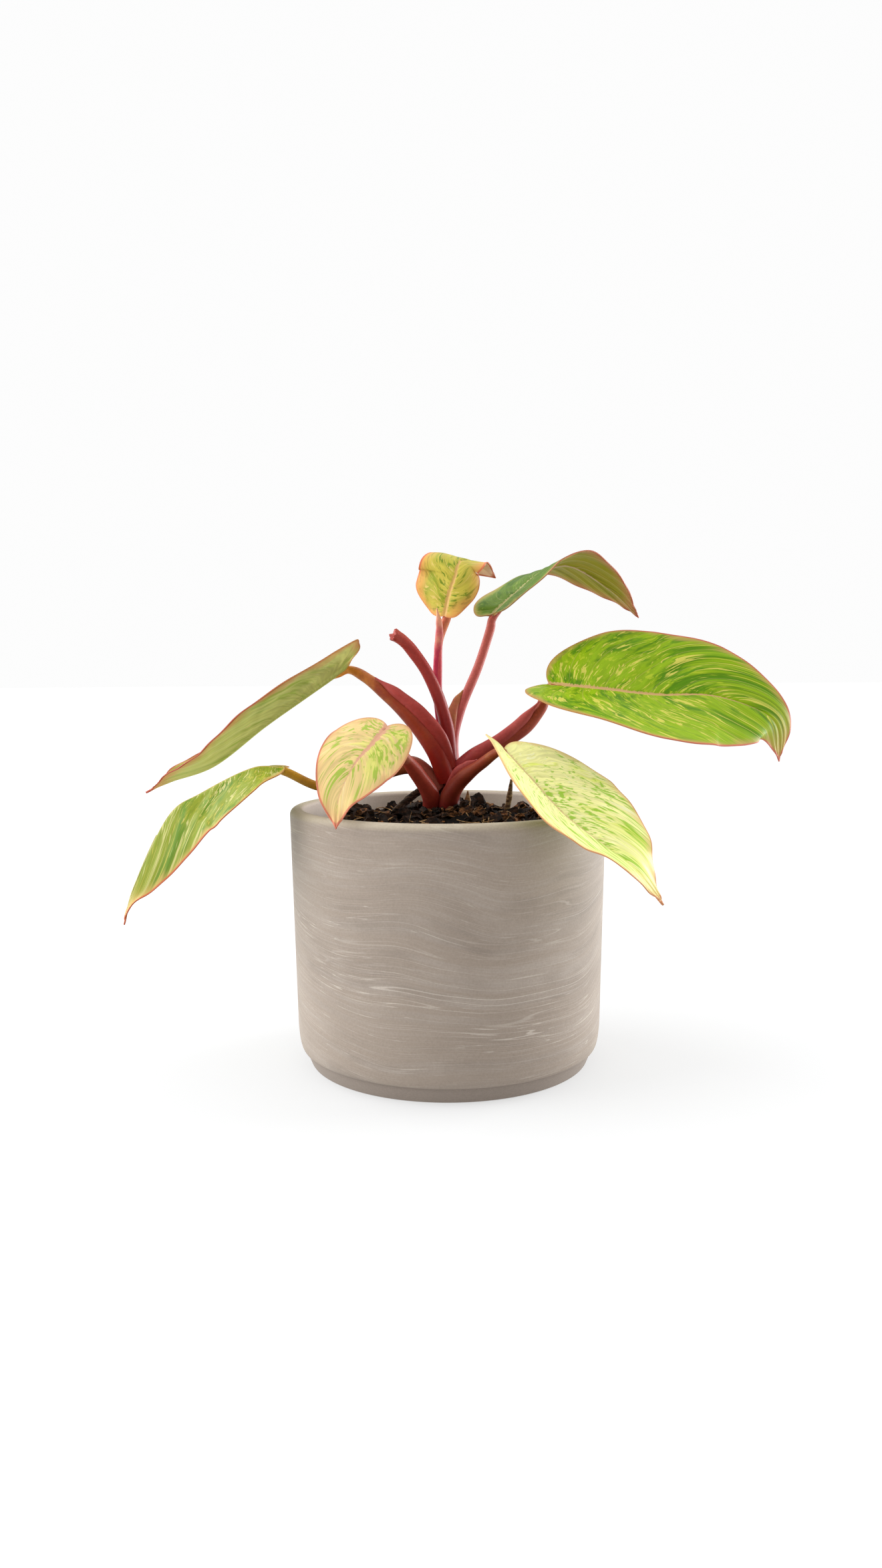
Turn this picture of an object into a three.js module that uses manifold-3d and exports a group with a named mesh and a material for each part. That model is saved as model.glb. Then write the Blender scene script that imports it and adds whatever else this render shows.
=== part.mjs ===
// A potted painted lady philodendron: a stoneware pot full of dark potting mix, a short stem,
// seven leaf stalks with their blades, one cut stalk, an aerial root and two dry sheaths.
// Millimetres, +Z up. The origin is the middle of the pot's flat underside.
import * as THREE from "three";
import { mergeVertices } from "three/addons/utils/BufferGeometryUtils.js";
import Module from "manifold-3d";

const wasm = await Module();
wasm.setup();

// Driving dimensions
const POT = {
  height: 122,
  rimRadius: 75,
  wall: 6.5,
  floor: 12,
  lipOuter: 3,
  lipInner: 2,
  footHeight: 7.6,
  footRadius: 66.5,
  stepRadius: 70.3,
  stepLip: 0.9,
  bellyRadius: 72.7,
  bellyHeight: 24,
  footEdge: 0.8,
  innerCorner: 5,
  sides: 48,
};
const GAP = 0.3; // clearance between pieces that touch
const SOIL = {
  crown: 117.5,
  fall: 6.5,
  lump: 0.9,
  sides: 36,
  chips: 42,
  chipMargin: 8,
  chipTilt: 0.55,
  seed: 20,
};
const BLADE_THICKNESS = 0.8;
const KEEL = 1.1; // how far the midrib stands proud under the base of a blade
const FLAT_TIP = [0.8, 0.97]; // shares of the midrib between which a blade's halves flatten out
const STEM = { x: 0, y: 3, bottom: 96, top: 142, radius: 5.5 };

const COLOURS = {
  pot: "#b9b2a8",
  soil: "#3a2a20",
  stem: "#6e2a22",
  stalk: "#8f3330",
  stalkPale: "#a8672c",
  blade: "#8fae3c",
  bladePale: "#cdd188",
  bladePeach: "#d9cf94",
  root: "#2b1a14",
  dry: "#9a7448",
};

const finish = (colour, roughness) =>
  new THREE.MeshStandardMaterial({ color: colour, roughness, metalness: 0 });

const plant = new THREE.Group();

const vec = (p) => new THREE.Vector3(...p);

// A seeded stream of numbers from 0 to 1
function stream(seed) {
  let state = seed;
  return () => {
    state = (state * 1664525 + 1013904223) % 4294967296;
    return state / 4294967296;
  };
}

// A closed geometry as a solid that can be joined and cut
function solidOf(geometry) {
  const bare = geometry.clone();
  bare.deleteAttribute("normal");
  bare.deleteAttribute("uv");
  const merged = mergeVertices(bare, 1e-4);
  return new wasm.Manifold(
    new wasm.Mesh({
      numProp: 3,
      vertProperties: merged.attributes.position.array,
      triVerts: new Uint32Array(merged.index.array),
    }),
  );
}

// The largest single body of a solid, so that a cut leaves no loose scraps
function largestBody(solid) {
  const bodies = solid.decompose();
  return bodies.reduce((best, body) =>
    body.volume() > best.volume() ? body : best,
  );
}

function addSolid(name, solid, material) {
  const mesh = solid.getMesh();
  const geometry = new THREE.BufferGeometry();
  const points = new THREE.BufferAttribute(
    new Float32Array(mesh.vertProperties),
    3,
  );
  geometry.setAttribute("position", points);
  geometry.setIndex(new THREE.BufferAttribute(mesh.triVerts, 1));
  geometry.computeVertexNormals();
  const piece = new THREE.Mesh(geometry, material);
  piece.name = name;
  plant.add(piece);
}

function geometryOf(points, faces) {
  const geometry = new THREE.BufferGeometry().setFromPoints(points);
  geometry.setIndex(faces);
  return geometry;
}

// A value at t from 0 to 1 through values set at even steps
function along(values, t) {
  const at = THREE.MathUtils.clamp(t, 0, 1) * (values.length - 1);
  const low = Math.min(Math.floor(at), values.length - 2);
  return THREE.MathUtils.lerp(
    values[low],
    values[low + 1],
    THREE.MathUtils.smoothstep(at - low, 0, 1),
  );
}

// Pot

function arc(centreR, centreZ, radius, from, to, steps) {
  return Array.from({ length: steps + 1 }, (_, i) => {
    const angle = THREE.MathUtils.degToRad(from + ((to - from) * i) / steps);
    return new THREE.Vector2(
      centreR + radius * Math.cos(angle),
      centreZ + radius * Math.sin(angle),
    );
  });
}

// From the step above the foot the wall swells out to the belly in a quarter of an ellipse
function bellyCurve(steps) {
  const rise = POT.bellyHeight - POT.footHeight;
  const swell = POT.bellyRadius - POT.stepRadius;
  return Array.from({ length: steps + 1 }, (_, i) => {
    const angle = (Math.PI / 2) * (i / steps);
    return new THREE.Vector2(
      POT.stepRadius + swell * Math.sin(angle),
      POT.footHeight + rise * (1 - Math.cos(angle)),
    );
  });
}

const innerRadius = POT.rimRadius - POT.wall;

function makePot() {
  const { height, rimRadius, floor, lipOuter, lipInner, footEdge, innerCorner } = POT;
  const profile = [
    new THREE.Vector2(0, 0),
    new THREE.Vector2(POT.footRadius - footEdge, 0),
    new THREE.Vector2(POT.footRadius, footEdge),
    new THREE.Vector2(
      POT.stepRadius - POT.stepLip,
      POT.footHeight - POT.stepLip / 2,
    ),
    ...bellyCurve(4),
    ...arc(rimRadius - lipOuter, height - lipOuter, lipOuter, 0, 90, 4),
    ...arc(innerRadius + lipInner, height - lipInner, lipInner, 90, 180, 3),
    ...arc(innerRadius - innerCorner, floor + innerCorner, innerCorner, 0, -90, 2),
    new THREE.Vector2(0, floor),
  ];
  const lathe = new THREE.LatheGeometry(profile, POT.sides).rotateX(
    Math.PI / 2,
  );
  addSolid("pot", solidOf(lathe), finish(COLOURS.pot, 0.75));
}

// Tubes: stalks, sheaths, root and stem

// A closed round or flattened tube on a smooth path. Its radii are set at even steps.
function tube({ path, radii, flat = 1, facing = [0, -1, 0], sides = 8, grow = 0 }) {
  const curve = new THREE.CatmullRomCurve3(path.map(vec), false, "catmullrom", 0.5);
  const rings = (path.length - 1) * 3;
  const points = [];
  const faces = [];
  for (let i = 0; i <= rings; i += 1) {
    const t = i / rings;
    const tangent = curve.getTangent(t);
    const side = new THREE.Vector3().crossVectors(tangent, vec(facing)).normalize();
    const front = new THREE.Vector3().crossVectors(side, tangent).normalize();
    const centre = curve.getPoint(t);
    if (i === 0) centre.addScaledVector(tangent, -grow);
    if (i === rings) centre.addScaledVector(tangent, grow);
    const radius = along(radii, t);
    for (let k = 0; k < sides; k += 1) {
      const angle = (2 * Math.PI * k) / sides;
      points.push(
        centre
          .clone()
          .addScaledVector(side, (radius + grow) * Math.cos(angle))
          .addScaledVector(front, (radius * flat + grow) * Math.sin(angle)),
      );
    }
  }
  for (let i = 0; i < rings; i += 1) {
    for (let k = 0; k < sides; k += 1) {
      const a = i * sides + k;
      const b = i * sides + ((k + 1) % sides);
      faces.push(a, b + sides, b, a, a + sides, b + sides);
    }
  }
  for (let k = 1; k < sides - 1; k += 1) {
    const last = rings * sides;
    faces.push(0, k, k + 1, last, last + k + 1, last + k);
  }
  const solid = solidOf(geometryOf(points, faces));
  return solid.volume() < 0 ? solidOf(geometryOf(points, faces.reverse())) : solid;
}

// Leaf blades

// Each blade is a flat two-lobed outline bent over its midrib.
// rib: points along the midrib from the notch at the stalk to the tip.
// face: which way the upper side looks, at the notch, the middle and the tip.
// half, lobe: width of each half and how far its lobe reaches back, left then right.
// rise, curl: for the left half, then the right, at the notch, the middle and the tip:
// the angle at which the half leaves the midrib, and how far it turns by its edge.
const LEAVES = {
  blade_1: {
    rib: [
      [-49, 10, 188],
      [-69, 9, 174],
      [-89, 10, 160],
      [-114, 13, 141],
      [-136, 16, 133],
      [-150, 21, 127],
    ],
    face: [
      [0.1, -0.1, 1],
      [-0.1, -0.2, 0.9],
      [-0.3, -0.1, 0.9],
    ],
    half: [20, 26],
    lobe: [19, 3],
    rise: [
      [43, 49, 54],
      [-9, 12, 52],
    ],
    curl: [
      [-9, -11, 14],
      [5, -6, 10],
    ],
    colour: COLOURS.blade,
  },
  blade_2: {
    rib: [
      [-75, -19, 142],
      [-90, -21, 142],
      [-113, -24, 131],
      [-127, -30, 121],
      [-142, -35, 90],
      [-145, -43, 74],
    ],
    face: [
      [-0.3, -0.1, 1],
      [-0.5, -0.4, 0.7],
      [-0.9, -0.3, 0.2],
    ],
    half: [31, 23],
    lobe: [1, 4],
    rise: [
      [-10, -22, -32],
      [-31, -39, -40],
    ],
    curl: [
      [11, 18, -31],
      [15, -5, -19],
    ],
    colour: COLOURS.blade,
  },
  blade_3: {
    rib: [
      [-27, -30, 161],
      [-34, -41, 153],
      [-40, -51, 146],
      [-46, -61, 133],
      [-47, -69, 120],
    ],
    face: [
      [0, -0.9, 0.5],
      [0, -0.9, 0.4],
      [-0.1, -1, 0.2],
    ],
    half: [17, 18],
    lobe: [9, 4],
    rise: [
      [5, 1, 16],
      [1, 4, 13],
    ],
    curl: [
      [-12, -17, -8],
      [-9, -16, -3],
    ],
    colour: COLOURS.bladePeach,
  },
  blade_4: {
    rib: [
      [-1, 8, 212],
      [1, 5, 221],
      [4, 3, 230],
      [8, 7, 238],
      [16, 15, 239],
      [23, 21, 234],
    ],
    face: [
      [-0.4, -0.9, 0.3],
      [0.1, -0.6, 0.6],
      [0.3, 0.3, 1],
    ],
    half: [20, 18],
    lobe: [4, 1],
    rise: [
      [-5, -4, -10],
      [20, -5, -20],
    ],
    curl: [
      [-15, -15, -20],
      [130, 120, 10],
    ],
    fold: [1, 2.5],
    colour: COLOURS.bladePeach,
  },
  blade_5: {
    rib: [
      [22, 18, 213],
      [33, 23, 223],
      [48, 30, 235],
      [63, 37, 238],
      [84, 44, 226],
      [99, 51, 213],
    ],
    face: [
      [-0.2, -0.5, 0.9],
      [0.2, 0.1, 0.9],
      [0.7, 0.6, 0.5],
    ],
    half: [20, 21],
    lobe: [9, -1],
    rise: [
      [10, -5, 4],
      [17, 17, 6],
    ],
    curl: [
      [-11, -5, -6],
      [7, -9, 0],
    ],
    colour: COLOURS.blade,
  },
  blade_6: {
    rib: [
      [49, 3, 179],
      [72, -2, 177],
      [98, -4, 174],
      [127, -5, 173],
      [153, -5, 162],
      [157, -2, 142],
    ],
    face: [
      [-0.1, -0.5, 0.9],
      [0, -0.7, 0.7],
      [0.5, -0.7, 0.4],
    ],
    half: [37, 43],
    lobe: [8, 16],
    rise: [
      [13, 13, 0],
      [20, 8, -15],
    ],
    curl: [
      [6, -6, -26],
      [-7, 10, -32],
    ],
    colour: COLOURS.blade,
  },
  blade_7: {
    rib: [
      [25, -38, 151],
      [37, -46, 138],
      [50, -56, 124],
      [66, -66, 112],
      [77, -74, 104],
      [89, -79, 89],
    ],
    face: [
      [0.6, -0.4, 0.9],
      [0.3, -0.5, 0.6],
      [0.4, -0.2, 0.6],
    ],
    half: [36, 26],
    lobe: [6, 12],
    rise: [
      [12, 11, -5],
      [19, 20, 18],
    ],
    curl: [
      [-15, -13, 4],
      [0, 6, -11],
    ],
    colour: COLOURS.bladePale,
  },
};

// A smooth curve through three values, set at the notch, the middle and the tip
function station([atBase, atMiddle, atTip], t) {
  return (
    atBase +
    (-3 * atBase + 4 * atMiddle - atTip) * t +
    (2 * atBase - 4 * atMiddle + 2 * atTip) * t * t
  );
}

// The flat outline runs from the notch (turn 0) round the lobe to the tip (turn pi)
const outlineWidth = (turn) =>
  Math.sin(turn) ** 1.15 * (1 - (turn / Math.PI) ** 2.2) ** 1.25;
const WIDEST = Math.max(
  ...Array.from({ length: 180 }, (_, i) => outlineWidth((Math.PI * i) / 180)),
);

function outlinePoint(turn, half, length, lobe) {
  const back = turn / 0.6;
  return {
    x:
      (length * (1 - Math.cos(turn))) / 2 -
      lobe * back * Math.exp((1 - back * back) / 2),
    y: (half * outlineWidth(turn)) / WIDEST,
  };
}

// Where a row of the sheet leaves the midrib. Rows fan out of the notch and close up at the tip.
function rowStart(turn, length) {
  const share = turn / Math.PI;
  const fanned = share ** 1.5;
  const level = (1 - Math.cos(turn)) / 2;
  const blend = THREE.MathUtils.smoothstep(share, 0.6, 1);
  return length * THREE.MathUtils.lerp(fanned, level, blend);
}

// A smooth midrib that can be read by distance from the notch
function midrib(points) {
  const curve = new THREE.CatmullRomCurve3(points.map(vec), false, "catmullrom", 0.5);
  curve.arcLengthDivisions = 120;
  const lengths = curve.getLengths();
  const length = lengths[lengths.length - 1];
  return { curve, length };
}

function frameOn(leaf, rib, x) {
  const reach = THREE.MathUtils.clamp(x / rib.length, 0, 1);
  const t = rib.curve.getUtoTmapping(reach);
  const tangent = rib.curve.getTangent(t);
  const face = vec([0, 1, 2].map((k) => station(leaf.face.map((f) => f[k]), t)));
  face.addScaledVector(tangent, -face.dot(tangent)).normalize();
  const across = new THREE.Vector3().crossVectors(tangent, face);
  const centre = rib.curve.getPoint(t).addScaledVector(tangent, Math.min(x, 0));
  return { t, tangent, face, across, centre };
}

// The point of a half at x along the midrib and y out from it. side is -1 left, 1 right.
function bladePoint(leaf, rib, x, y, side) {
  const k = side < 0 ? 0 : 1;
  const { t, face, across, centre } = frameOn(leaf, rib, x);
  const open = 1 - THREE.MathUtils.smoothstep(t, ...FLAT_TIP);
  const rise = THREE.MathUtils.degToRad(station(leaf.rise[k], t)) * open;
  const curl = THREE.MathUtils.degToRad(station(leaf.curl[k], t)) * open;
  const fold = leaf.fold ? leaf.fold[k] : 1;
  const steps = 8;
  for (let i = 0; i < steps; i += 1) {
    const share = ((y / leaf.half[k]) * (i + 0.5)) / steps;
    const angle = rise + curl * share ** fold;
    centre.addScaledVector(across, (side * Math.cos(angle) * y) / steps);
    centre.addScaledVector(face, (Math.sin(angle) * y) / steps);
  }
  return centre;
}

// A closed shell: one sheet of triangles lifted to both faces, joined round its edge
function bladeSolid(leaf, grow, rows = 20) {
  const columns = leaf.fold ? 6 : 4;
  const rib = midrib(leaf.rib);
  const sheet = [];
  const depth = [];
  const put = (point, below) => {
    sheet.push(point);
    depth.push(below);
    return sheet.length - 1;
  };
  const spread = (j) => (j / columns) ** 1.15;
  const ribIndex = [];
  for (let i = 0; i <= rows; i += 1) {
    const x = rowStart((Math.PI * i) / rows, rib.length);
    ribIndex.push(put(bladePoint(leaf, rib, x, 0, 1), KEEL * (1 - i / rows) + grow));
  }
  const halves = [-1, 1].map((side) => {
    const k = side < 0 ? 0 : 1;
    const index = [];
    for (let i = 0; i <= rows; i += 1) {
      const turn = (Math.PI * i) / rows;
      const rim = outlinePoint(turn, leaf.half[k], rib.length, leaf.lobe[k]);
      const start = rowStart(turn, rib.length);
      index.push([ribIndex[i]]);
      for (let j = 1; j <= columns; j += 1) {
        const v = spread(j);
        const x = start + (rim.x - start) * v ** 1.3;
        const atEnd = i === 0 || i === rows;
        const point = bladePoint(leaf, rib, x, rim.y * v, side);
        index[i].push(atEnd ? ribIndex[i] : put(point, 0));
      }
    }
    return index;
  });
  const faces = [];
  const addFace = (a, b, c) => {
    if (a !== b && b !== c && c !== a) faces.push([a, b, c]);
  };
  halves.forEach((index, k) => {
    for (let i = 0; i < rows; i += 1) {
      for (let j = 0; j < columns; j += 1) {
        const [a, b] = [index[i][j], index[i + 1][j]];
        const [c, d] = [index[i + 1][j + 1], index[i][j + 1]];
        if (k === 1) {
          addFace(a, d, c);
          addFace(a, c, b);
        } else {
          addFace(a, c, d);
          addFace(a, b, c);
        }
      }
    }
  });
  const flat = geometryOf(sheet, faces.flat());
  flat.computeVertexNormals();
  const normals = flat.attributes.normal;
  const count = sheet.length;
  const lift = (i, height) =>
    sheet[i]
      .clone()
      .addScaledVector(new THREE.Vector3().fromBufferAttribute(normals, i), height);
  const skin = BLADE_THICKNESS / 2 + grow;
  const points = [
    ...sheet.map((_, i) => lift(i, skin)),
    ...sheet.map((_, i) => lift(i, -skin - depth[i])),
  ];
  const rim = [
    ...halves[0].map((row) => row[columns]),
    ...halves[1].map((row) => row[columns]).reverse(),
  ].filter((v, i, list) => v !== list[(i + 1) % list.length]);
  const shell = [];
  faces.forEach(([a, b, c]) => {
    shell.push(a, b, c, a + count, c + count, b + count);
  });
  rim.forEach((a, i) => {
    const b = rim[(i + 1) % rim.length];
    shell.push(a, b, b + count, a, b + count, a + count);
  });
  const solid = solidOf(geometryOf(points, shell));
  return solid.volume() < 0 ? solidOf(geometryOf(points, shell.reverse())) : solid;
}

// The last points of a stalk: under the notch of its blade, then a little way along the midrib
function underBlade(name, radius) {
  const leaf = LEAVES[name];
  const rib = midrib(leaf.rib);
  const notch = frameOn(leaf, rib, 0);
  const beyond = frameOn(leaf, rib, 5);
  return [
    notch.centre
      .clone()
      .addScaledVector(notch.tangent, -1)
      .addScaledVector(notch.face, -radius * 0.7)
      .toArray(),
    beyond.centre.clone().addScaledVector(beyond.face, -1).toArray(),
  ];
}

// Stalks. path runs from the stem outwards, radii at even steps along it.
// sheath is the winged fold that clasps the stalk's foot and ends in a point.
const STALKS = {
  petiole_7: {
    blade: "blade_7",
    path: [
      [-1, -6, 104],
      [0, -6, 117],
      [1, -9, 127],
      [7, -15, 136],
      [15, -24, 143],
    ],
    radii: [4, 4.4, 4.4, 3.6, 2.6, 2, 1.3],
    sheath: {
      path: [
        [1, -8, 129],
        [5, -13, 138],
        [9, -17, 142],
        [13.6, -20.5, 145],
      ],
      radii: [3.2, 3, 2.2, 0.4],
      flat: 0.6,
    },
    colour: COLOURS.stalk,
  },
  petiole_3: {
    blade: "blade_3",
    path: [
      [-7, -2, 104],
      [-8, -3, 117],
      [-8, -7, 127],
      [-14, -13, 138],
      [-20.5, -21, 147.5],
    ],
    radii: [4, 4.2, 4.2, 3.6, 2.6, 1.8, 1.2],
    colour: COLOURS.stalk,
  },
  petiole_1: {
    blade: "blade_1",
    path: [
      [0, -2, 134],
      [-5.8, -5, 148.6],
      [-14.6, -4, 161.2],
      [-27, 0, 173.8],
      [-39, 5, 183],
    ],
    radii: [4.6, 4.5, 4.1, 3.5, 2.6, 2, 1.2],
    sheath: {
      path: [
        [1, -3, 140],
        [-3.4, -6, 154],
        [-12, -6, 165.5],
        [-23, -4, 175],
        [-34, 0, 182.8],
      ],
      radii: [3.4, 3.6, 3.2, 2.5, 0.4],
      flat: 0.75,
    },
    colour: COLOURS.stalk,
  },
  petiole_6: {
    blade: "blade_6",
    path: [
      [3, 0, 136],
      [12, -1, 144.5],
      [24, 0, 151],
      [36, 1, 158],
      [44.5, 2, 167.5],
    ],
    radii: [4.4, 4.2, 3.9, 3.4, 2.8, 2.3, 1.5],
    sheath: {
      path: [
        [6, -1.5, 141],
        [15, -2.5, 147.5],
        [26, -2, 153.7],
        [35.5, 0, 161],
        [42, 1, 169],
      ],
      radii: [3, 3, 2.8, 2.3, 0.4],
      flat: 0.75,
    },
    colour: COLOURS.stalk,
  },
  petiole_2: {
    blade: "blade_2",
    path: [
      [-4, 1, 130],
      [-16, -2, 141],
      [-28, -7, 139],
      [-44, -11, 134],
      [-59, -15, 132.5],
    ],
    radii: [4.4, 4.5, 3.4, 2.3, 2.1, 2, 1.3],
    colour: COLOURS.stalkPale,
  },
  cut_petiole: {
    path: [
      [1, 3, 136],
      [0.5, 2, 154],
      [-3, 0, 170],
      [-9, -3, 184.5],
      [-16, -5, 195],
      [-20.5, -7, 200],
      [-24, -8, 202],
    ],
    radii: [4, 3.4, 3, 2.8, 2.8, 2.7, 2.3],
    ragged: true,
    colour: COLOURS.stalk,
  },
  petiole_4: {
    blade: "blade_4",
    path: [
      [1, 8, 134],
      [-1.6, 10, 155],
      [-4, 10.5, 171],
      [-3.9, 10, 187],
      [-2.5, 9.5, 200],
    ],
    radii: [3, 2.3, 1.9, 1.9, 1.9, 2, 1.3],
    sheath: {
      path: [
        [-2.4, 8.5, 150],
        [-5, 9, 171],
        [-5.2, 9, 187],
        [-4.4, 8.5, 201],
        [-4.2, 5.5, 215.5],
      ],
      radii: [1.5, 1.4, 1.3, 1.2, 0.3],
      flat: 0.8,
    },
    colour: COLOURS.stalk,
  },
  petiole_5: {
    blade: "blade_5",
    path: [
      [3, 6, 134],
      [2.6, 7.5, 152],
      [5, 9.5, 163],
      [9, 12, 173.5],
      [15.3, 15.5, 188],
      [21, 18.8, 205],
    ],
    radii: [3.2, 2.8, 2.5, 2.3, 2.2, 2.2, 2, 1.3],
    sheath: {
      path: [
        [2.2, 6, 146],
        [1.6, 6.5, 155],
        [2.2, 7.5, 164],
        [4.4, 9.5, 171],
        [7.8, 12, 176.5],
      ],
      radii: [2.6, 2.8, 2.6, 1.9, 0.4],
      flat: 0.7,
    },
    colour: COLOURS.stalkPale,
  },
};

// Torn fibres on the end of the cut stalk
function tornEnd(stalk, grow) {
  const end = vec(stalk.path[stalk.path.length - 1]);
  const before = vec(stalk.path[stalk.path.length - 2]);
  const out = end.clone().sub(before).normalize();
  const random = stream(7);
  return Array.from({ length: 5 }, (_, i) => {
    const angle = (2 * Math.PI * (i + random() * 0.5)) / 5;
    const side = new THREE.Vector3(0, Math.cos(angle), Math.sin(angle));
    const root = end.clone().addScaledVector(out, -2).addScaledVector(side, 1.3);
    const tip = end
      .clone()
      .addScaledVector(out, 1 + 1.6 * random())
      .addScaledVector(side, 1.5 + random());
    const middle = root.clone().lerp(tip, 0.5);
    const path = [root, middle, tip].map((p) => p.toArray());
    return tube({ path, radii: [0.9, 0.8, 0.35], sides: 5, grow });
  });
}

function stalkSolid(stalk, grow) {
  const radiusAtBlade = stalk.radii[stalk.radii.length - 2];
  const path = stalk.blade
    ? [...stalk.path, ...underBlade(stalk.blade, radiusAtBlade)]
    : stalk.path;
  let solid = tube({ path, radii: stalk.radii, grow });
  if (stalk.sheath) {
    solid = solid.add(tube({ ...stalk.sheath, grow }));
  }
  if (stalk.ragged) {
    tornEnd(stalk, grow).forEach((fibre) => {
      solid = solid.add(fibre);
    });
  }
  return solid;
}

// The short main stem, ringed where old stalks grew
function stemSolid(grow) {
  const { x, y, bottom, top, radius } = STEM;
  const height = top - bottom;
  const rings = [1, 1.05, 0.97, 1.08, 0.98, 1.06, 0.9, 0.55];
  const path = [0, 0.35, 0.7, 1].map((s) => [x + s, y - s, bottom + height * s]);
  return tube({
    path,
    radii: rings.map((ring) => radius * ring),
    sides: 10,
    grow,
  });
}

const ROOT = {
  path: [
    [-4, 4, 134],
    [-9.3, 4, 131],
    [-15, 3, 126.6],
    [-19.8, 0.5, 121.8],
    [-23.6, -3, 116.5],
    [-25.5, -4.5, 107],
  ],
  radii: [1.6, 1.5, 1.5, 1.4, 1.3, 0.7],
};
const DRY_SHEATH = {
  path: [
    [27, 12.5, 106],
    [28.4, 12, 114.6],
    [30.1, 12, 124.1],
    [31.2, 12, 133],
  ],
  radii: [0.9, 1.3, 1.3, 0.5],
  flat: 0.5,
};
const BRACT = {
  path: [
    [7.2, -3.5, 110],
    [8.4, -3.5, 118],
    [9.4, -3.5, 124],
    [9.6, -4, 129],
  ],
  radii: [1.2, 1.6, 1.5, 0.4],
  flat: 0.5,
};

// Soil

function soilHeight(x, y) {
  const radius = Math.hypot(x, y) / innerRadius;
  const lumps =
    Math.sin(x * 0.21 + 1.3) * Math.cos(y * 0.26) +
    0.6 * Math.sin(x * 0.47 - y * 0.39);
  return SOIL.crown - SOIL.fall * radius ** 2 + SOIL.lump * lumps;
}

function soilBed() {
  const outer = innerRadius - GAP;
  const bottom = POT.floor + GAP;
  const bevel = POT.innerCorner;
  const { sides } = SOIL;
  const radii = [0.18, 0.36, 0.54, 0.72, 0.88, 1].map((s) => s * outer);
  const points = [new THREE.Vector3(0, 0, soilHeight(0, 0))];
  const ringAt = (radius, height) => {
    const start = points.length;
    for (let k = 0; k < sides; k += 1) {
      const angle = (2 * Math.PI * k) / sides;
      const x = radius * Math.cos(angle);
      const y = radius * Math.sin(angle);
      points.push(new THREE.Vector3(x, y, height ?? soilHeight(x, y)));
    }
    return start;
  };
  const starts = radii.map((radius) => ringAt(radius));
  starts.push(ringAt(outer, bottom + bevel));
  starts.push(ringAt(outer - bevel, bottom));
  const last = points.length;
  points.push(new THREE.Vector3(0, 0, bottom));
  const faces = [];
  for (let k = 0; k < sides; k += 1) {
    const next = (k + 1) % sides;
    faces.push(0, starts[0] + k, starts[0] + next);
    for (let r = 0; r < starts.length - 1; r += 1) {
      const [a, b] = [starts[r] + k, starts[r] + next];
      const [c, d] = [starts[r + 1] + next, starts[r + 1] + k];
      faces.push(a, d, c, a, c, b);
    }
    const end = starts[starts.length - 1];
    faces.push(last, end + next, end + k);
  }
  return solidOf(geometryOf(points, faces));
}

// One bark chip: a small box with uneven corners
function chip(random) {
  const size = [3.5 + 6 * random(), 1.8 + 2.6 * random(), 1.2 + 1.6 * random()];
  const box = new THREE.BoxGeometry(...size);
  box.deleteAttribute("normal");
  box.deleteAttribute("uv");
  const solid = mergeVertices(box);
  const corners = solid.attributes.position;
  for (let i = 0; i < corners.count; i += 1) {
    const jitter = () => 0.75 + 0.45 * random();
    corners.setXYZ(
      i,
      corners.getX(i) * jitter(),
      corners.getY(i) * jitter(),
      corners.getZ(i) * jitter(),
    );
  }
  return solid;
}

function soilSolid() {
  const random = stream(SOIL.seed);
  let bed = soilBed();
  for (let i = 0; i < SOIL.chips; i += 1) {
    const reach = innerRadius - SOIL.chipMargin;
    const radius = reach * Math.sqrt((i + 0.5) / SOIL.chips);
    const angle = i * 2.4 + random() * 0.6;
    const x = radius * Math.cos(angle);
    const y = radius * Math.sin(angle);
    const tilt = () => (2 * random() - 1) * SOIL.chipTilt;
    const turn = new THREE.Euler(tilt(), tilt(), random() * Math.PI * 2);
    const piece = chip(random);
    piece.applyMatrix4(new THREE.Matrix4().makeRotationFromEuler(turn));
    piece.translate(x, y, soilHeight(x, y) + 0.3 + random());
    bed = bed.add(solidOf(piece));
  }
  return bed;
}

// Assembly. Each piece is cut clear of those already placed by the gap.
makePot();

const blades = Object.entries(LEAVES).map(([name, leaf]) => {
  addSolid(name, bladeSolid(leaf, 0), finish(leaf.colour, 0.45));
  const cutter = bladeSolid(leaf, GAP);
  const { tangent } = frameOn(leaf, midrib(leaf.rib), 0);
  return cutter.add(cutter.translate(tangent.multiplyScalar(-GAP).toArray()));
});

addSolid("stem", stemSolid(0), finish(COLOURS.stem, 0.6));
const placed = [stemSolid(GAP)];
Object.entries(STALKS).forEach(([name, stalk]) => {
  let solid = stalkSolid(stalk, 0);
  [...placed, ...blades].forEach((other) => {
    solid = solid.subtract(other);
  });
  addSolid(name, largestBody(solid), finish(stalk.colour, 0.4));
  placed.push(stalkSolid(stalk, GAP));
});
Object.entries({ aerial_root: ROOT, dry_sheath: DRY_SHEATH, bract: BRACT }).forEach(
  ([name, shape]) => {
    let solid = tube(shape);
    placed.forEach((other) => {
      solid = solid.subtract(other);
    });
    const colour = name === "aerial_root" ? COLOURS.root : COLOURS.dry;
    addSolid(name, largestBody(solid), finish(colour, 0.8));
    placed.push(tube({ ...shape, grow: GAP }));
  },
);

let soil = soilSolid();
placed.forEach((other) => {
  soil = soil.subtract(other);
});
addSolid("soil", largestBody(soil), finish(COLOURS.soil, 0.95));

export default plant;
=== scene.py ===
# %% [markdown]
# # A potted painted lady philodendron
#
# The plant on this bench is a young climbing aroid in a stoneware pot. Seven leaves grow from one
# short stem. Each has its own colouring: cream streaks that follow the side veins, green flecks on
# a pale ground, a fine red rim.
#
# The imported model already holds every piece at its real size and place. In this notebook each
# piece is modelled again in finer form, on the same measures, and gets its finish. Blender works
# in metres here, and the sizes below are written in millimetres and multiplied by MM.

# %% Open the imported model
import math
import random
from contextlib import contextmanager

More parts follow.
